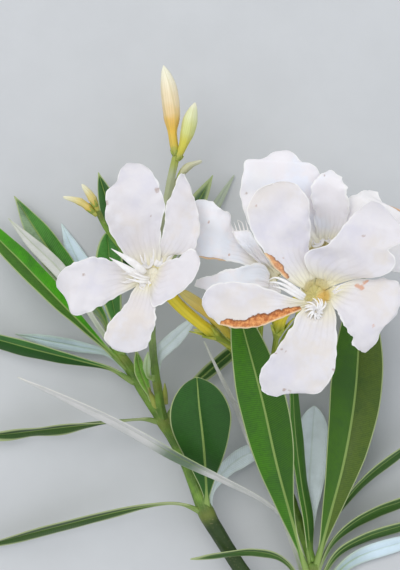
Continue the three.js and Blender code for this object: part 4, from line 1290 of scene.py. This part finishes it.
def tuft_threads(name, tuft, trumpet):
    """Hairy anther tails that stand together on one side of the throat and curl outwards."""
    x, y, spread, count = tuft
    facing = trumpet.facing
    aim = Vector((x, y, 0))
    aim -= facing * aim.dot(facing)
    foot = trumpet.wall(aim.normalized(), TUFT_DEPTH)
    top = trumpet.lip + aim + facing * 1.6
    threads = []
    for k in range(count):
        ring = trumpet.across(level_way(360 * ((k * 0.382) % 1.0)))
        curl = Matrix.Rotation(1.2, 3, facing) @ ring
        reach = spread * (0.45 + 0.55 * ((k * 0.618) % 1.0))
        line = [foot + ring * 0.5, top - facing * 1.4 + ring * 0.6,
                top + ring * reach * 0.45 + facing * 0.5,
                top + ring * reach * 0.8 + curl * reach * 0.25,
                top + ring * reach * 0.85 + curl * reach * 0.6 - facing * 0.7]
        threads.append(limb(name, Course(line, 6), lambda s, a: 0.44 * (1 - s) ** 0.5 + 0.15, 6, 12))
    return threads


def make_fringe(name, flower, trumpet):
    """Toothed scales round the mouth, and the hairy tails of the anthers."""
    blades = []
    for petal in flower.petals:
        if petal.scale:
            blades += petal_scale(name, petal, trumpet)
    for line, *shape in flower.straps:
        blades += strap(name, [placed(point) for point in line], UP, *shape)
    threads = tuft_threads(name, flower.tuft, trumpet) if flower.tuft else []
    return joined(name, [thickened(name, blades), *threads])


class OLEANDER_OT_flowers(Operator):
    """Make the four open flowers: petals, tube, calyx and fringe"""

    bl_idname = "oleander.flowers"
    bl_label = "Flowers"

    def execute(self, context):
        settings = context.scene.oleander_flowers
        front = Trumpet(FLOWERS["flower_front"])
        warm = to_frame(front.wall(front.across(level_way(GLOW_HEADING)), ROOT_DEPTH))
        throats = throat_finish(warm)
        sepals = plain_finish("yellow green sepal", "d0d058", "a2b23c", 260.0, 0.5)
        threads = plain_finish("white fringe", "f6f3f1", "ede8e4", 500.0, 0.55, 0.3)
        for name, flower in FLOWERS.items():
            trumpet = Trumpet(flower)
            sheets = [make_petal(f"{name}_petal", petal, trumpet, flower.freckles, settings)
                      for petal in flower.petals]
            petals = petal_finish(name, settings, warm)
            finished(thickened(name + "_petals", sheets), name, petals)
            finished(make_throat(name + "_throat", trumpet), name, throats)
            calyx = make_calyx(name + "_calyx", trumpet.course, trumpet.calyx_at, CALYX_RADIUS,
                               FLOWER_SEPAL)
            finished(calyx, name, sepals)
            finished(make_fringe(name + "_fringe", flower, trumpet), name, threads)
        return {"FINISHED"}


# Buds

class Bud(NamedTuple):
    """Grows on a stem, at a share of its length. calyx is the share of the bud where its sepals stand.
    sepals is their length, or 0 for one that goes with the bud's thickness."""

    on: str
    at: float
    look: str
    calyx: float
    line: list
    radii: list
    sepals: float = 0


BUDS = {
    "tall_bud": Bud("left_shoot", 1, "cream", 0.02, [(-8.7, 47.6, 27.4), (-9.2, 56, 27.8), (-10.2, 64, 28),
        (-11.7, 70.3, 28)], [(0, 1.25), (0.1, 1.38), (0.24, 1.42), (0.29, 1.6), (0.35, 2.2), (0.4, 2.55),
        (0.47, 2.75), (0.58, 2.88), (0.69, 2.78), (0.78, 2.5), (0.87, 1.85), (0.935, 1.2), (0.97, 0.65),
        (1, 0.12)], sepals=1.5),
    "second_bud": Bud("left_shoot", 0.985, "lime", 0.03, [(-6, 43, 28.2), (-4.1, 48.7, 28.8),
        (-3, 53.4, 29), (-1.5, 58.4, 29)], [(0, 1), (0.12, 1.06), (0.3, 1.5), (0.47, 2.24), (0.6, 2.42),
        (0.7, 2.4), (0.8, 1.95), (0.91, 1.2), (0.97, 0.6), (1, 0.12)], sepals=1.4),
    "spent_bud": Bud("left_shoot", 0.88, "grey", 0.3, [(-4.2, 37.6, 26.2), (0.6, 39.7, 26)], [(0, 0.7),
        (0.3, 0.75), (0.42, 1), (0.55, 1.3), (0.68, 1.25), (0.78, 0.85), (0.9, 0.66), (0.97, 0.6),
        (1, 0.3)]),
    "side_bud_left": Bud("bud_stalk", 0.96, "butter", 0.12, [(-38, 26.4, 25), (-43.8, 28.2, 25)], [(0, 0.7),
        (0.15, 0.9), (0.3, 1.25), (0.42, 1.15), (0.56, 1.3), (0.68, 1), (0.85, 0.75), (0.96, 0.5),
        (1, 0.2)]),
    "side_bud_right": Bud("bud_stalk", 1, "butter", 0.15, [(-35, 28.5, 26), (-37.8, 32.3, 27)], [(0, 0.7),
        (0.2, 1), (0.45, 1.4), (0.7, 1.1), (0.9, 0.7), (1, 0.2)]),
    "ochre_bud": Bud("flower_stalk", 0.955, "ochre", 0.3, [(4.8, -10.8, 33.5), (-7, -1.3, 41)], [(0, 0.8),
        (0.2, 1), (0.4, 1.35), (0.6, 1.7), (0.8, 2), (0.92, 1.6), (0.98, 0.8), (1, 0.2)]),
    "green_bud": Bud("flower_stalk", 0.915, "green", 0.35, [(6, -16.5, 22.5), (-2.2, -14.2, 24.5)],
        [(0, 0.8), (0.3, 1), (0.5, 1.5), (0.7, 1.8), (0.85, 1.4), (0.96, 0.6), (1, 0.15)]),
}

# Stalk, foot, belly and tip colours, each with the share of the length that it is centred on
BUD_LOOKS = {
    "cream": [(0.0, "96a452"), (0.07, "b4b44c"), (0.15, "d8bc48"), (0.25, "eac04c"), (0.35, "e8be60"),
              (0.46, "e8cc96"), (0.6, "ebd8b2"), (0.97, "f2efd8")],
    "lime": [(0.02, "aeb456"), (0.14, "cfc648"), (0.32, "d6cf50"), (0.55, "d4d88a"), (0.8, "dfe2b4"),
             (0.97, "eceacf")],
    "butter": [(0.05, "a8ad50"), (0.22, "d8b84c"), (0.5, "dccb7e"), (0.95, "ece8c8")],
    "grey": [(0.1, "a0a47c"), (0.5, "c3c29c"), (0.95, "d0d0b8")],
    "ochre": [(0.1, "a4ac3c"), (0.4, "cdb93a"), (0.7, "d2b44a"), (0.95, "e2d07a")],
    "green": [(0.1, "a3b03c"), (0.5, "c0c648"), (0.95, "d8d878")],
}


def bud_finish(look):
    finish = Finish(look + " bud", Roughness=0.45, **glow(0.15, 0.0015))
    share, turn, _ = finish.stored_parts("limb_place")
    height = share + (finish.spots(180.0, 3.0) - 0.5) * 0.2
    stops = BUD_LOOKS[look]
    tones = [(height.step(low, high), tone) for (low, _), (high, tone) in zip(stops, stops[1:])]
    seams = (turn * (10 * pi) + share * 5.0).sine().step(0.7, 1.0, 0.0, 0.3)
    lines = (turn * (44 * pi)).sine().step(0.0, 1.0, 0.0, 0.16)
    finish.paint(stops[0][1], *tones, (finish.math("MAXIMUM", seams, lines), "a89c58"))
    finish.bump(finish.spots(800.0, 3.0) + seams + lines, 0.1, 0.6)
    return finish.material


def make_bud(name, bud, finishes, sepals):
    course = grown_from(bud.on, bud.at, [placed(p) for p in bud.line])
    at, radii = bud.calyx, bud.radii

    def radius(share, angle):
        wrap = ((5 * angle / tau + 0.8 * share) % 1.0) - 0.5
        return profile(radii, share) * (1 + 0.07 * wrap * smooth_step(at, at + 0.3, share))

    piece = limb(name + "_skin", course, radius, *BUD_GRID)
    round_off(piece)
    finished(piece, name, finishes[bud.look])
    foot = profile(radii, at)
    size = bud.sepals or 1.6 + 0.9 * max(thick for _, thick in radii)
    calyx = make_calyx(name + "_calyx", course, at, foot, size, 0.8 + foot * 0.75, 0.1)
    finished(calyx, name, sepals)


class OLEANDER_OT_buds(Operator):
    """Make the closed buds with their wrapped petals and sepals"""

    bl_idname = "oleander.buds"
    bl_label = "Buds"

    def execute(self, context):
        finishes = {look: bud_finish(look) for look in BUD_LOOKS}
        sepals = plain_finish("green sepal", "a3ad4a", "7c8f35", 300.0, 0.5)
        for name, bud in BUDS.items():
            make_bud(name, bud, finishes, sepals)
        return {"FINISHED"}


# Stage

# The lights aim here, in metres.
LIT_POINT = Vector((0.0, 0.03, 0.03))


def linked(name, data, location):
    """A lamp or camera at its place in the scene."""
    thing = bpy.data.objects.new(name, data)
    thing.location = location
    bpy.context.collection.objects.link(thing)
    return thing


def add_light(name, location, size, power, colour):
    light = bpy.data.lights.new(name, "AREA")
    light.shape = "RECTANGLE"
    light.size, light.size_y = size
    light.energy = power
    light.color = colour
    aim = LIT_POINT - Vector(location)
    linked(name, light, location).rotation_euler = aim.to_track_quat("-Z", "Y").to_euler()


def add_floor(colour):
    deselect()
    bpy.ops.mesh.primitive_plane_add(size=8)
    floor = bpy.context.active_object
    floor.name = "floor"
    finish = Finish("pale floor", Roughness=0.85, Specular_IOR_Level=0.15)
    grain = finish.spots(35.0, 4.0, 0.6)
    paler = (min(1.0, part * 1.04) for part in colour)
    finish.paint((*colour, 1), (grain.step(0.3, 0.7), (*paler, 1)))
    floor.data.materials.append(finish.material)


def add_camera():
    camera = bpy.data.cameras.new("above")
    camera.sensor_width = FILM_SIDE
    camera.lens = FILM_SIDE * (EYE_HEIGHT - PLAN_LEVEL) / PLAN_LENGTH
    camera.clip_start = 0.01
    bpy.context.scene.camera = linked("above", camera, to_frame(UP * EYE_HEIGHT))


def add_surround(strength):
    world = bpy.data.worlds.new("studio")
    world.use_nodes = True
    back = world.node_tree.nodes["Background"]
    back.inputs["Color"].default_value = (0.9, 0.94, 1.0, 1)
    back.inputs["Strength"].default_value = strength
    bpy.context.scene.world = world


class OLEANDER_OT_stage(Operator):
    """Set the floor, the camera and the soft lights"""

    bl_idname = "oleander.stage"
    bl_label = "Stage"

    def execute(self, context):
        settings = context.scene.oleander_stage
        add_floor(settings.floor_colour)
        add_camera()
        add_surround(settings.sky_strength)
        add_light("key", (-0.32, 0.42, 0.9), (0.9, 0.7), settings.key_power, (1.0, 0.98, 0.95))
        add_light("fill", (0.7, -0.3, 0.6), (0.9, 0.9), settings.key_power * 0.3, (0.9, 0.95, 1.0))
        context.scene.view_settings.view_transform = "Standard"
        return {"FINISHED"}


class OLEANDER_PT_branch(Panel):
    """The steps that make the branch, and their sizes and colours"""

    bl_label = "Oleander branch"
    bl_space_type = "VIEW_3D"
    bl_region_type = "UI"
    bl_category = "Oleander"

    def draw(self, context):
        for operator, settings in STEPS:
            box = self.layout.box()
            box.operator(operator.bl_idname)
            if settings:
                group = getattr(context.scene, settings)
                for name in group.bl_rna.properties.keys():
                    if name not in {"rna_type", "name"}:
                        box.prop(group, name)


STEPS = (
    (OLEANDER_OT_stems, "oleander_stems"),
    (OLEANDER_OT_leaves, "oleander_leaves"),
    (OLEANDER_OT_flowers, "oleander_flowers"),
    (OLEANDER_OT_buds, None),
    (OLEANDER_OT_stage, "oleander_stage"),
)
SETTINGS = {
    "oleander_stems": OleanderStemSettings,
    "oleander_leaves": OleanderLeafSettings,
    "oleander_flowers": OleanderFlowerSettings,
    "oleander_stage": OleanderStageSettings,
}


def register():
    for kind in (*SETTINGS.values(), *(step for step, _ in STEPS), OLEANDER_PT_branch):
        bpy.utils.register_class(kind)
    for name, kind in SETTINGS.items():
        setattr(bpy.types.Scene, name, PointerProperty(type=kind))


def unregister():
    for name in SETTINGS:
        delattr(bpy.types.Scene, name)
    for kind in (OLEANDER_PT_branch, *(step for step, _ in STEPS), *SETTINGS.values()):
        bpy.utils.unregister_class(kind)


def main():
    register()
    bpy.ops.oleander.stage()
    bpy.ops.oleander.stems()
    bpy.ops.oleander.leaves()
    bpy.ops.oleander.flowers()
    bpy.ops.oleander.buds()


if __name__ == "__main__":
    main()
